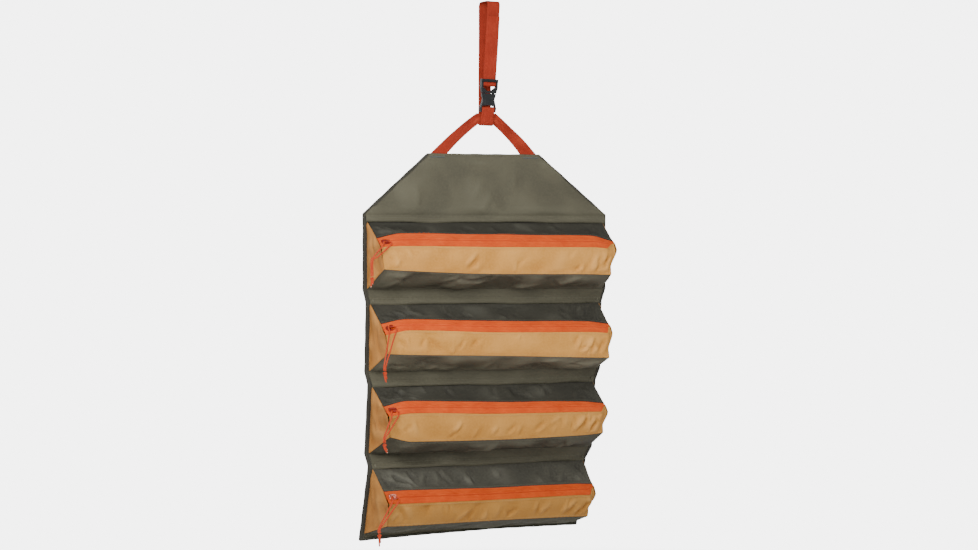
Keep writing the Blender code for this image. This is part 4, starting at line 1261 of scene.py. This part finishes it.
# %% [markdown]
# ## The head's front and the strips between the pockets
# The plain cloth above each pocket ends in a soft roll: its lower edge is turned under and lies
# over the pocket's top seam, so it casts a shadow on the dark cloth below. That roll is the one
# part of the panel that changes its outline, so it is a cross-section of its own, drawn as a smooth
# curve and swept across. Like the back cloth it is laid in its rest shape.

# %% Rolled edges
ROLL = ((0.0012, -0.0240), (0.0026, -0.0160), (0.0028, -0.0115), (0.0020, -0.0082), (0.0028, -0.0056),
        (0.0043, -0.0026), (0.0049, 0.0010), (0.0040, 0.0031), (0.0021, 0.0031), (0.0009, 0.0008))
ROLL_STEP = 0.0013
CREASE_FROM_FOOT = 0.0170
LEAST_DEPTH = 0.0008
DENT_SOFTNESS = 0.0005
STRIP_INSET = 0.0045
HEAD_INSET = 0.0022


def rolled_cloth(number, profile, seed, half_width):
    """A cloth whose (depth, drop from the fold) profile runs down and turns under at its foot."""
    profile = even_line(profile, ROLL_STEP)
    reach = reach_along(profile)[:, None]
    share = np.linspace(-1, 1, COLUMNS)[None, :]
    depth = profile[:, :1]
    drop = fold_drop(number) + profile[:, 1:]
    side = share * half_width(drop)
    from_foot = reach[-1] - reach
    slack = ease((from_foot - 0.004) / 0.01)
    relief = waves(side, reach, seed, 0.07, 0.0008) * slack
    relief = relief + puckers(side, from_foot - 0.013, seed, 0.00025)
    relief = relief + puckers(side, from_foot, seed + 3, 0.0002, 0.013)
    lip = 0.0008 * np.sin(side / 0.043 + seed) + 0.0005 * np.sin(side / 0.017 + 2 * seed)
    drop = drop + lip * ease(1 - from_foot / 0.02)
    # Painted shade along the crease above the roll, and a painted highlight on the roll itself.
    crease = bell(from_foot, CREASE_FROM_FOOT, 0.0030)
    painted_shading = relief - (0.0009 if number == 1 else 0.0003) * crease
    painted_shading = painted_shading + 0.0006 * ease((0.014 - from_foot) / 0.004)
    return side, depth, drop, reach, from_foot, relief, painted_shading


def over_panel(depth):
    """The same depths, eased so that no dent reaches the back cloth."""
    return LEAST_DEPTH + DENT_SOFTNESS * np.logaddexp(0, (depth - LEAST_DEPTH) / DENT_SOFTNESS)


def strip_cloth(number):
    """The strip above pockets 2 to 4, from the low seam of the pocket before."""
    top = low_seam_drop(number - 1) - fold_drop(number) + 0.0006
    profile = smooth_line(((0.0007, top), (0.0018, -0.0150), (0.0022, -0.0085)) + ROLL[5:], ROLL_STEP)
    side, depth, drop, reach, _, relief, painted_shading = rolled_cloth(
        number, profile, 500 + number, lambda drop: HALF_PANEL - STRIP_INSET)
    near_end = ease((np.abs(side) - HALF_POCKET + 0.022) / 0.018)
    depth = depth * (1 - 0.45 * near_end)
    places = hang(side, over_panel(depth + relief), drop)
    piece = cloth(f"strip_{number}_cloth", places, (side, reach), OLIVE, -0.0003, 0.0006, painted_shading)
    bend_at_fold(piece)


for pocket in POCKETS[1:]:
    strip_cloth(pocket)


# %% Head cloth
HEAD_DENTS = (
    (-0.010, 0.030, 1.45, 0.050, 0.011, -0.0016),
    (0.052, 0.042, -0.25, 0.026, 0.007, 0.0014),
    (0.030, 0.078, 0.5, 0.030, 0.008, -0.0013),
)
HEAD_BUNCH = (2, 9, (-0.16, 0.16), (0.015, 0.09), 0.03, 0.008, 0.0011)
HEAD_STANDS_OFF = 0.0006


def head_cloth():
    top = -fold_drop(1) + 0.0008
    profile = [(0.0010, drop) for drop in np.linspace(top, ROLL[0][1] - 0.006, 26)]
    profile = np.vstack([profile, smooth_line(ROLL, ROLL_STEP)])
    side, depth, drop, reach, from_foot, relief, painted_shading = rolled_cloth(
        1, profile, 500, lambda drop: half_at(drop) - HEAD_INSET)
    flat_top = ease((reach - 0.004) / 0.012) * held_edges((side / half_at(drop) + 1) / 2, 0.05)
    dents = crumpled(side, reach, 41, 0.085, 0.0011, [HEAD_BUNCH], HEAD_DENTS)
    dents = dents * flat_top * ease((from_foot - 0.016) / 0.015)
    places = hang(side, over_panel(depth + relief + dents + HEAD_STANDS_OFF * flat_top), drop)
    piece = cloth("head_front_cloth", places, (side, reach), OLIVE, -0.0006, 0.0004, painted_shading + dents)
    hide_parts("head_front_panel")
    bend_at_fold(piece)


head_cloth()
print("head and strips made")

# %% [markdown]
# ## Binding
# A dark tape is folded round the panel's raw edges and stitched down. It could be a bevel on the
# panel, but a separate tape has its own weave and stands a little proud, which is what the eye
# reads as an edge. Its cross-section is a U, swept down the edge.

# %% Bind the edges
BINDING_WIDTH = 0.0055
SHOULDER_BINDING_WIDTH = 0.0032
FOOT_BINDING_WIDTH = 0.0040
TOP_HEM_WIDTH = 0.0030
ROUND_THE_EDGE = 0.006
LEAST_TAPE = 0.0102
U_SHAPE = ((1.0, 0.0013), (0.55, 0.0016), (0.15, 0.0017), (-0.10, 0.0009), (-0.19, -0.0006),
           (-0.19, -0.0022), (-0.10, -0.0037), (0.15, -0.0043), (0.55, -0.0042), (1.0, -0.0039))


def binding_piece(name, edge_side, edge_drop, inward, width=BINDING_WIDTH):
    """A U-shaped tape round an edge. The inward direction is (side, drop) on the pattern."""
    inset, depth = even_line(np.array(U_SHAPE) * (width, 1), 0.0009).T[:, None, :]
    places = hang(edge_side[:, None] + inset * inward[0], depth, edge_drop[:, None] + inset * inward[1])
    rows = reach_along(np.stack([edge_side, edge_drop], -1))[:, None]
    across = np.cumsum(np.linalg.norm(np.diff(places[0], axis=0, prepend=places[0][:1]), axis=1))[None, :]
    if inward[0] > 0:
        places = places[:, ::-1]
    ripple = 0.0002 * np.sin(rows / 0.006)
    piece = cloth(name, places, (across, rows), BINDING, -0.0003, 0.0004 + ripple, ripple)
    width = max(2 * width + ROUND_THE_EDGE, LEAST_TAPE)
    return piece


for word, hand in HANDS.items():
    inward = (-float(hand), 0.0)
    shoulder = np.array((HALF_PANEL - HEAD_TOP_WIDTH / 2, SHOULDER_DROP))
    slope = unit(shoulder)
    t = steps(0, float(np.linalg.norm(shoulder)))
    piece = binding_piece(f"head_{word}_shoulder_binding", hand * (HEAD_TOP_WIDTH / 2 + slope[0] * t),
                          slope[1] * t, (-hand * slope[1], slope[0]), SHOULDER_BINDING_WIDTH)
    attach(piece, "head")
    for number in POCKETS:
        top, foot = section_ends(number)
        drop = steps(SHOULDER_DROP if number == 1 else top, foot)
        edge = np.full_like(drop, hand * HALF_PANEL)
        piece = binding_piece(f"section_{number}_{word}_binding", edge, drop, inward)
        bend_at_fold(piece)
side = steps(-HALF_PANEL, HALF_PANEL)
piece = binding_piece("foot_binding", side[::-1], np.full_like(side, PANEL_END), (0.0, -1.0),
                      FOOT_BINDING_WIDTH)
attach(piece, f"section_{POCKETS[-1]}")
side = steps(-HEAD_TOP_WIDTH / 2, HEAD_TOP_WIDTH / 2)
piece = binding_piece("head_top_hem", side, np.zeros_like(side), (0.0, 1.0), TOP_HEM_WIDTH)
piece.data.materials[0] = OLIVE
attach(piece, "head")
print("binding made")

# %% [markdown]
# ## Seams and tacks
# Every edge here is sewn: one row holds the zip to the cloth above it and to the front, one closes
# the front's foot, two hold each rolled edge, and one runs down each side of the binding. Where a
# seam takes a load it ends in a bar tack, a small block of close stitches. Each row is read off the
# cloth it holds, and a row on cloth that is laid in its rest shape is laid in it too.

# %% Sew the pockets
# For each cloth: its seams, how far its rows lie from the upper or the lower one, and what they ride on.
POCKET_ROWS = {
    "upper": ((TOP_SEAM, ZIP_TOP), (-0.0026,), OLIVE_THREAD, "flap", "dark_canvas"),
    "front": ((ZIP_FOOT, FRONT_FOOT), (0.0024, -0.0026), TAN_THREAD, "section", "tan_canvas"),
    "lower": ((FRONT_FOOT, LOW_SEAM), (0.0030, -0.0050), OLIVE_THREAD, "section", "olive_canvas"),
}


def sew_pocket(number):
    for name, (seams, insets, thread, body, slot) in POCKET_ROWS.items():
        length = run_of(*seams)[1]
        shown = f"pocket_{number}_{name}_cloth"
        rows = [line_on(shown, 0, (inset < 0) + inset / length) for inset in insets]
        sewn = stitches(f"pocket_{number}_{name}_stitches", rows, thread)
        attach(sewn, f"{body}_{number}")
    highest, lowest = section_ends(number)
    rows = [line_on(f"section_{number}_back_cloth", 0, (drop - highest) / (lowest - highest), rear=True)
            for drop in (seam_drop(number), low_seam_drop(number))]
    through = stitches(f"section_{number}_through_stitches", rows, OLIVE_THREAD)
    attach(through, f"section_{number}")


for pocket in POCKETS:
    sew_pocket(pocket)

# %% Sew the rolled edges
ROLL_ROWS = (0.0095, 0.0165)
for number in POCKETS:
    name = "head_front_cloth" if number == 1 else f"strip_{number}_cloth"
    total = line_length(SURFACES[name][0][:, 0])
    rows = [line_on(name, 0, 1 - distance / total) for distance in ROLL_ROWS if distance < total - 0.002]
    sewn = stitches(name.replace("cloth", "stitches"), rows, OLIVE_THREAD)
    bend_at_fold(sewn)

# %% Sew the binding
BINDING_ROWS = (0.07, 0.93)


def sew_binding(name, body=None):
    rows = [line_on(name, 1, share) for share in BINDING_ROWS]
    sewn = stitches(name + "_stitches", rows, OLIVE_THREAD, radius=0.00024)
    if body:
        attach(sewn, body)
    else:
        bend_at_fold(sewn)


for word in HANDS:
    sew_binding(f"head_{word}_shoulder_binding", body="head")
    for pocket in POCKETS:
        sew_binding(f"section_{pocket}_{word}_binding")
sew_binding("foot_binding", body=f"section_{POCKETS[-1]}")
sew_binding("head_top_hem", body="head")

# %% Bar tacks
TACK_PITCH = 0.0007


def bar_tack(name, place, width, height, material):
    """Close upright stitches side by side. The place function turns (across, down) into the air."""
    rows = []
    for x in np.arange(-width / 2, width / 2 + 1e-6, TACK_PITCH):
        ends = np.array([place(x, -height / 2), place(x, height / 2)])
        beside = place(x + 0.001, 0.0) - place(x, 0.0)
        facing = unit(np.cross(ends[1] - ends[0], beside))
        rows.append((ends, np.array([facing, facing])))
    return stitches(name, rows, material, pitch=1.0, length=height, radius=0.00040)


YOKE_FEET = {"left": -0.0825, "right": 0.0825}
YOKE_TACK_DROP = 0.0050
YOKE_TACK_DEPTH = 0.0019
YOKE_TACK_SIZE = (0.026, 0.0026)
STRIP_TACK_INSET = 0.004
STRIP_TACK_DEPTH = 0.0032
STRIP_TACK_ABOVE_FOLD = 0.0025
STRIP_TACK_SIZE = (0.0022, 0.0060)
for word, middle in YOKE_FEET.items():
    tack = bar_tack(f"yoke_{word}_tack", lambda x, y: hang(middle + x, YOKE_TACK_DEPTH, YOKE_TACK_DROP + y),
                    *YOKE_TACK_SIZE, SLATE_THREAD)
    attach(tack, "head")
for number in POCKETS[1:]:
    for word, hand in HANDS.items():
        middle = hand * (HALF_POCKET - STRIP_TACK_INSET)
        drop = fold_drop(number) - STRIP_TACK_ABOVE_FOLD
        tack = bar_tack(f"strip_{number}_{word}_tack",
                        lambda x, y: hang(middle + x, STRIP_TACK_DEPTH, drop + y),
                        *STRIP_TACK_SIZE, OLIVE_THREAD)
        bend_at_fold(tack)

# %% [markdown]
# ## Pleats and zip coils
# When a zip is open its upper cloth lifts, and the end of the pocket must not gape. On the real bag
# the end cloth has slack there. Here a narrow web lies folded inside each end, under the end of the
# upper cloth; it is laid in its rest shape. The zip's coils show only when the zip is open: a row of
# short turns behind each tape.

# %% Webs folded inside the ends
PLEAT_DEPTH = 0.013
PLEAT_CLEARANCE = 0.0010
PLEAT_WIDTH = 0.0030
PLEAT_END = 1.16


def end_pleat(number, word, hand):
    down = np.linspace(0.03, PLEAT_END, 26)[:, None]
    leaf = np.linspace(0, 1, 17)[None, :]
    line = upper_shape(number, float(hand), np.minimum(down, 1.0))
    length = run_of(TOP_SEAM, ZIP_TOP)[1]
    beyond = np.maximum(down - 1, 0) * length
    dip = PLEAT_DEPTH * np.minimum(down, 1.0) * np.sin(math.pi * leaf) ** 0.8
    side = line[0] - hand * (PLEAT_CLEARANCE + PLEAT_WIDTH * leaf)
    depth = line[1] + beyond * ZIP_RUN[0] / ZIP_BAND
    drop = line[2] + beyond * ZIP_RUN[1] / ZIP_BAND
    side, depth, drop = raised(TOP_SEAM, ZIP_TOP, (side, depth, drop), -0.0009 - dip)
    places = pocket_place(number, side, depth, drop)
    if hand > 0:
        places = places[:, ::-1]
    flat = (leaf * 2 * PLEAT_DEPTH, down * length)
    piece = cloth(f"pocket_{number}_{word}_pleat", places, flat, SHADED_GUSSET_TANS[number - 1], -0.0002, 0.0002)
    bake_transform(piece)


for pocket in POCKETS:
    for word, hand in HANDS.items():
        end_pleat(pocket, word, hand)

# %% Zip coils
COIL_PITCH = 0.0024
COIL_TURN = 0.0026
COIL_RADIUS = 0.0006
COIL_IN = 0.0010


def coil(number, name):
    hand = -1 if name == "upper" else 1
    across = np.arange(-1, 1, COIL_PITCH / HALF_POCKET)
    ends = []
    for distance in (SLOT_HALF, SLOT_HALF + COIL_TURN):
        down = 0.5 + hand * distance / ZIP_BAND
        places = laid(number, ZIP_TOP, ZIP_FOOT, across, down, -COIL_IN)
        ends.append(pocket_place(number, *places))
    run, length = run_of(ZIP_TOP, ZIP_FOOT)
    inside = pocket_place(number, 0, -run[1] / length, run[0] / length) - pocket_place(number, 0, 0, 0)
    rows = [(np.array(pair), np.array([inside, inside])) for pair in zip(*ends)]
    piece = stitches(f"zip_{number}_{name}_coil", rows, RED_THREAD, pitch=1.0, length=COIL_TURN,
                     radius=COIL_RADIUS)
    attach(piece, f"{ZIP_SIDES[name]}_{number}")


for pocket in POCKETS:
    for name in ZIP_SIDES:
        coil(pocket, name)

# %% [markdown]
# ## The strap, its tail and the yoke
# Webbing is a flat woven band, with soft rounded edges and ribs along it. A ribbon swept along the
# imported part's route keeps its turns round the bars exact; what is added is the edge, the weave and
# the slight unevenness of a strap that has been pulled about. The yoke is one band, so it is drawn
# between its bowed outer and inner edges, from one foot over the top to the other.

# %% Sizes of the strap and the buckle
WEBBING_THICKNESS = 0.0016
STRAP_WIDTH = 0.022
WEBBING_STEP = 0.0011
STRAP_TOP_SPREAD = 0.038
STRAP_FOOT_SPREAD = 0.0126
STRAP_TOP_CORNER = 0.007
STRAP_FOOT_CORNER = 0.0038
STRAP_FOOT_DROP = YOKE_APEX_TOP_DROP + YOKE_APEX_HEIGHT + 0.00085 + WEBBING_THICKNESS / 2
BUCKLE_BAR_DROP = YOKE_APEX_TOP_DROP - 0.007
BUCKLE_BACK = -STRAP_FOOT_SPREAD / 2
BUCKLE_TILT = math.atan2(STRAP_TOP_SPREAD / 2 + BUCKLE_BACK,
                         BUCKLE_BAR_DROP - (STRAP_TOP_CORNER - WEBBING_THICKNESS / 2))
BAR_RADIUS = 0.0018
LADDER_HEIGHT = 0.040
STRAP_END_HEIGHT = 0.070
TAIL_BACK_TOP = 0.078
TAIL_FRONT_TOP = 0.151
WRAP_RADIUS = BAR_RADIUS + GAP + WEBBING_THICKNESS / 2
STRAP_FRAME = Matrix.Rotation(STRAP_SIDE_LEAN, 4, "Y")
BUCKLE_FRAME = (STRAP_FRAME @ Matrix.Translation((0, BUCKLE_BACK, -BUCKLE_BAR_DROP))
                @ Matrix.Rotation(BUCKLE_TILT, 4, "X"))


def arc(middle, radius, start, end, count):
    """Points (y, z) on an arc, its angles in degrees."""
    angles = np.radians(np.linspace(start, end, count + 1))
    return [(middle[0] + radius * math.cos(a), middle[1] + radius * math.sin(a)) for a in angles]


def buckle_place(back, height):
    """A (y, z) place in the strap's frame from one in the buckle's."""
    y = BUCKLE_BACK + back * math.cos(BUCKLE_TILT) - height * math.sin(BUCKLE_TILT)
    z = -BUCKLE_BAR_DROP + back * math.sin(BUCKLE_TILT) + height * math.cos(BUCKLE_TILT)
    return y, z


def strap_route():
    foot = STRAP_FOOT_SPREAD / 2
    top = STRAP_TOP_SPREAD / 2
    corner = STRAP_FOOT_CORNER
    path = [buckle_place(WRAP_RADIUS, -0.006)]
    path += [buckle_place(*point) for point in arc((0, 0), WRAP_RADIUS, 0, 180, 16)]
    path += [(-foot, -BUCKLE_BAR_DROP - 0.014)]
    path += arc((-foot + corner, -STRAP_FOOT_DROP + corner), corner, 180, 270, 8)
    path += arc((foot - corner, -STRAP_FOOT_DROP + corner), corner, 270, 360, 8)
    path += [(foot, -YOKE_APEX_TOP_DROP - 0.002)]
    rise = STRAP_TOP_CORNER
    crown = WEBBING_THICKNESS / 2 - rise
    path += arc((top - rise, crown), rise, 0, 90, 10)
    path += arc((-top + rise, crown), rise, 90, 180, 10)
    return path + [buckle_place(0, STRAP_END_HEIGHT)]


def tail_route():
    layer = WEBBING_THICKNESS + GAP
    turn = arc((0, LADDER_HEIGHT), WRAP_RADIUS, 0, -180, 16)
    neck = LADDER_HEIGHT + 2 * BAR_RADIUS
    return [(layer, TAIL_BACK_TOP), (layer, neck)] + turn + [(-layer, neck), (-layer, TAIL_FRONT_TOP)]


def rounded_half(share, width, thickness=WEBBING_THICKNESS):
    """Half the thickness of a band across its width, which rounds off at its edges."""
    from_edge = (1 - np.abs(share)) * width / 2
    x = np.clip(1 - from_edge / (thickness / 2), 0, 1)
    return thickness / 2 * np.sqrt(np.maximum(1 - x * x, 0.02))


def webbing(name, route, matrix, seed):
    """A ribbon of webbing along a (y, z) route in a frame."""
    line = even_line(route, WEBBING_STEP)
    share = np.sin(np.linspace(-math.pi / 2, math.pi / 2, 23))[None, :]
    along = np.arange(len(line))[:, None] * WEBBING_STEP
    side = share * STRAP_WIDTH / 2 * (1 + 0.012 * np.sin(along / 0.019 + seed))
    places = in_frame(matrix, points_at(side, line[:, :1], line[:, 1:]))
    half = rounded_half(share, STRAP_WIDTH) - 0.00012 * (1 + np.sin(side / 0.0019 * math.pi))
    relief = waves(side, along, seed, 0.05, 0.0002)
    return cloth(name, places, (side, along), WEBBING, -half, half, relief)


# %% Lay the webbing
strap = webbing("strap_webbing", strap_route(), STRAP_FRAME, 1)
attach(strap, "strap")
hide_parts("hanging_strap")
tail = webbing("strap_tail_webbing", tail_route(), BUCKLE_FRAME, 2)
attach(tail, "adjuster")
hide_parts("strap_tail")
for piece, route in ((strap, strap_route()), (tail, tail_route())):
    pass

YOKE_APEX_TOP_HALF = 0.017
YOKE_APEX_FOOT_HALF = 0.012
YOKE_FOOT_MIDDLE = 0.0785
YOKE_FOOT_HALF = 0.015
YOKE_BOW = 0.0025
YOKE_TUCK = 0.004
YOKE_SPREAD = 0.0040


def bowed(start, end):
    """A slightly bowed edge between two (side, z) points."""
    start, end = np.array(start), np.array(end)
    along = unit(end - start)
    out = np.array((-along[1], along[0])) * YOKE_BOW
    t = np.linspace(0, 1, 40)[:, None]
    return start + (end - start) * t + out * 4 * t * (1 - t)


def yoke():
    foot = -HEAD_TOP_DROP - YOKE_TUCK
    top = -YOKE_APEX_TOP_DROP
    low = top - YOKE_APEX_HEIGHT
    outer = bowed((YOKE_APEX_TOP_HALF, top), (YOKE_FOOT_MIDDLE + YOKE_FOOT_HALF, foot))
    inner = bowed((YOKE_APEX_FOOT_HALF, low), (YOKE_FOOT_MIDDLE - YOKE_FOOT_HALF, foot))
    band = np.linspace(-1, 1, 14)[1:-1, None]
    across = np.hstack([band * YOKE_APEX_TOP_HALF, 0 * band + top])
    below = np.hstack([band * YOKE_APEX_FOOT_HALF, 0 * band + low])
    mirror = (-1, 1)
    outer = np.vstack([(outer * mirror)[::-1], across, outer])
    inner = np.vstack([(inner * mirror)[::-1], below, inner])
    share = np.sin(np.linspace(-math.pi / 2, math.pi / 2, 25))[None, :]
    grid = outer[:, None] + (inner - outer)[:, None] * (share[..., None] + 1) / 2
    side, z = grid[..., 0], grid[..., 1]
    middle = (outer + inner) / 2
    fallen = np.clip((top - z) / (top - foot), 0, 1)
    side = side + fallen * (YOKE_SPREAD * np.sign(side) - HEAD_SWAY)
    along = reach_along(middle)[:, None]
    slant = unit(inner[1] - inner[0])
    foot_edge = outer[0] - inner[0]
    width = float(abs(foot_edge[0] * slant[1] - foot_edge[1] * slant[0]))
    gather = bell(np.abs(side), 0.016, 0.006)
    relief = waves(side, z, 61, 0.05, 0.0006)
    relief = relief + 0.0013 * gather * np.sin(share * 5.0 + 0.7) * (1 - 0.6 * share**2)
    held = ease((z - foot - 0.006) / 0.02)
    half = rounded_half(share, width)
    places = points_at(side + HEAD_SIDE, -relief * held, z)[:, ::-1]
    flat = (share[:, ::-1] * width / 2, along)
    piece = cloth("yoke_band", places, flat, WEBBING, -half, half, (relief * held)[:, ::-1] * 0.6)
    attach(piece, "head")
    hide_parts("yoke_webbing")


yoke()
print("webbing made")

# %% [markdown]
# ## The buckle and the sliders
# The buckle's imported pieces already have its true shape, so they stay: a Bevel modifier softens
# their moulded edges, and a grained dark plastic covers them. A slider's face needs more: it is a
# pressed cap with raised sides, a hollow between them, and a small arch that holds the cord. Its back
# plate, inside the pocket, is smaller than a real one, to stay clear of the cloth.

# %% Soften the buckle
for node in ("buckle_receiver", "buckle_adjuster", "buckle_arm_left", "buckle_arm_right"):
    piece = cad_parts[node]
    weld = piece.modifiers.new("weld", "WELD")
    weld.merge_threshold = 1e-5
    bevel = piece.modifiers.new("moulded_edges", "BEVEL")
    bevel.width = 0.00045
    bevel.segments = 3
    bevel.limit_method = "ANGLE"
    bevel.angle_limit = math.radians(32)
    piece.data.materials.clear()
    piece.data.materials.append(BUCKLE)

# %% Sliders
SLIDER_LENGTH = 0.016
SLIDER_WIDTH = 0.011
PLATE_UNDER = TAPE_THICKNESS + GAP
PLATE_THICKNESS = 0.001
BACK_PLATE = (0.85, 0.40)
BACK_PLATE_UP = 0.0024
BEHIND_COIL = 0.0016
CAP_RIM = 0.0008
POST_PLACE = 0.006
POST_DEPTHS = (0.0022, 0.0, -0.0014)
POST_RADIUS = 0.0005
BAIL_AXIS = (0.0, -BAIL_OUT, 0.00035 - 0.0026)
BAIL_REACH = 0.0026
BAIL_WALL = 0.0011
BAIL_WIDTH = 0.0044


def slider_frame(number, droop):
    """X along the zip, Y into the pocket and Z up the zip's band, at the middle of the slider's place."""
    depth, drop = zip_point(ZIP_BAND / 2, 0.0)
    origin = pocket_place(number, -HALF_POCKET + SLIDER_FROM_END, depth, drop + droop)
    right, back, up = directions(seam_drop(number))
    down_band = -back * math.cos(ZIP_SLOPE) - up * math.sin(ZIP_SLOPE)
    inward = back * math.sin(ZIP_SLOPE) - up * math.cos(ZIP_SLOPE)
    turn = Matrix((Vector(right), Vector(inward), Vector(-down_band))).transposed().to_4x4()
    return Matrix.Translation(Vector(origin)) @ turn


def plate(name, matrix, outside, material, rim, size=(1.0, 1.0), up=0.0):
    """A pressed plate with rounded ends. Its rim stands up by this much round a shallow hollow."""
    u = np.linspace(-1, 1, 41)[None, :]
    v = np.linspace(-1, 1, 29)[:, None]
    taper = 1 - 0.20 * ease((u - 0.1) / 0.9)
    corner = np.sqrt(np.maximum(1 - np.abs(u) ** 5, 0.02))
    x = u * SLIDER_LENGTH / 2 * size[0]
    z = up - v * SLIDER_WIDTH / 2 * taper * corner * size[1]
    edge = np.minimum(1 - np.abs(u), 1 - np.abs(v))
    rise = rim * bell(edge, 0.24, 0.13)
    thick = PLATE_THICKNESS * np.sqrt(np.clip(edge / 0.10, 0.15, 1))
    places = in_frame(matrix, points_at(x, outside, z))
    return cloth(name, places, (x, z), material, 0.0, thick + rise)


def slider(number):
    matrix = slider_frame(number, SLIDER_DROOPS[number - 1])
    material = WORN_SLIDER if number == 4 else SLIDER
    front = plate(f"zip_{number}_slider_cap", matrix, -PLATE_UNDER, material, CAP_RIM)
    behind = BEHIND_COIL + GAP + PLATE_THICKNESS
    rear = plate(f"zip_{number}_slider_back", matrix, behind, material, 0.0, BACK_PLATE, BACK_PLATE_UP)
    post = in_frame(matrix, [(POST_PLACE, y, 0) for y in POST_DEPTHS])
    web = tube(f"zip_{number}_slider_post", post, POST_RADIUS, material)
    turn = np.linspace(-0.62 * math.pi, 0.62 * math.pi, 26)[:, None]
    share = np.sin(np.linspace(-math.pi / 2, math.pi / 2, 13))[None, :]
    middle = BAIL_REACH - BAIL_WALL / 2
    wide = BAIL_WIDTH / 2 * (1 + 0.35 * np.abs(turn / turn.max()) ** 3)
    arch = points_at(share * wide, BAIL_AXIS[1] - middle * np.cos(turn),
                     BAIL_AXIS[2] + middle * np.sin(turn) * 1.1)
    places = in_frame(slider_frame(number, 0.0), arch)
    half = rounded_half(share, BAIL_WIDTH, BAIL_WALL)
    bail = cloth(f"zip_{number}_bail", places, (share * wide, turn * middle), material, -half, half)
    for piece in (front, rear, web, bail):
        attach(piece, f"slider_{number}")
    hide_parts(f"zipper_{number}_slider")


for pocket in POCKETS:
    slider(pocket)

# %% [markdown]
# ## Light and floor
# The roll was seen against plain white in soft light, so there are three large area lamps and a
# pale world. One lamp and a strong world would be simpler, but it would flatten the cloth. The
# world is dimmer for lighting than it is to the camera, by the Light Path node, so the background
# stays white while the folds keep their shadows.

# %% Light the roll
WHITE = 5.5
SOFT_FILL = 0.50
MIDDLE = Vector((0.0, 0.0, -0.45))


def soft_lamp(name, side, ahead, rise, size, power):
    """A square area lamp, placed from the roll's middle along the camera's own right and forward."""
    data = bpy.data.lights.new(name, "AREA")
    data.size = size
    data.energy = power
    lamp = bpy.data.objects.new(name, data)
    place = MIDDLE + LEVEL_RIGHT * side + LEVEL_AHEAD * ahead + Vector((0, 0, rise))
    aim = (place - MIDDLE).to_track_quat("Z", "Y").to_matrix().to_4x4()
    lamp.matrix_world = Matrix.Translation(place) @ aim
    bpy.context.scene.collection.objects.link(lamp)


soft_lamp("front_softbox", -0.25, -1.35, 0.62, 1.0, 28)
soft_lamp("right_softbox", 1.8, -1.3, 0.5, 1.2, 12)
soft_lamp("rear_softbox", -1.2, 2.2, 0.8, 1.6, 26)

world = bpy.data.worlds.new("white_studio")
bpy.context.scene.world = world
world.use_nodes = True
tree = world.node_tree
tree.nodes.clear()
plain_white = (1, 1, 1, 1)
seen_white = add_node(tree, "ShaderNodeBackground", {"Color": plain_white, "Strength": WHITE})
soft_fill = add_node(tree, "ShaderNodeBackground", {"Color": plain_white, "Strength": SOFT_FILL})
ray = add_node(tree, "ShaderNodeLightPath")
choose = add_node(tree, "ShaderNodeMixShader", {0: ray.outputs["Is Camera Ray"], 1: soft_fill.outputs[0],
                                                2: seen_white.outputs[0]})
add_node(tree, "ShaderNodeOutputWorld", {0: choose.outputs[0]})

# %% Pale floor
FLOOR_HEIGHT = -1.0
FLOOR_RADIUS = 6.0
FLOOR_PLAIN = 0.45
FLOOR_SEEN = 1.3
bpy.ops.mesh.primitive_circle_add(vertices=96, radius=FLOOR_RADIUS, fill_type="NGON",
                                  location=(0, 0, FLOOR_HEIGHT))
floor = bpy.context.object
floor.name = "floor"
paint = bpy.data.materials.new("pale_floor")
paint.use_nodes = True
tree = paint.node_tree
shader = tree.nodes["Principled BSDF"]
shader.inputs["Base Color"].default_value = (0.8, 0.8, 0.8, 1)
shader.inputs["Roughness"].default_value = 0.7
place = add_node(tree, "ShaderNodeTexCoord")
distance = add_node(tree, "ShaderNodeVectorMath", {0: place.outputs["Object"]}, operation="LENGTH")
fade = add_node(tree, "ShaderNodeMapRange", {"Value": distance.outputs["Value"], "From Min": FLOOR_PLAIN,
                                             "From Max": FLOOR_SEEN})
glow = add_node(tree, "ShaderNodeEmission", {"Strength": WHITE})
ray = add_node(tree, "ShaderNodeLightPath")
seen = add_node(tree, "ShaderNodeMath", {0: ray.outputs["Is Camera Ray"], 1: fade.outputs[0]},
                operation="MULTIPLY")
choose = add_node(tree, "ShaderNodeMixShader", {0: seen.outputs[0], 1: shader.outputs[0],
                                                2: glow.outputs[0]})
tree.links.new(choose.outputs[0], tree.nodes["Material Output"].inputs["Surface"])
floor.data.materials.append(paint)
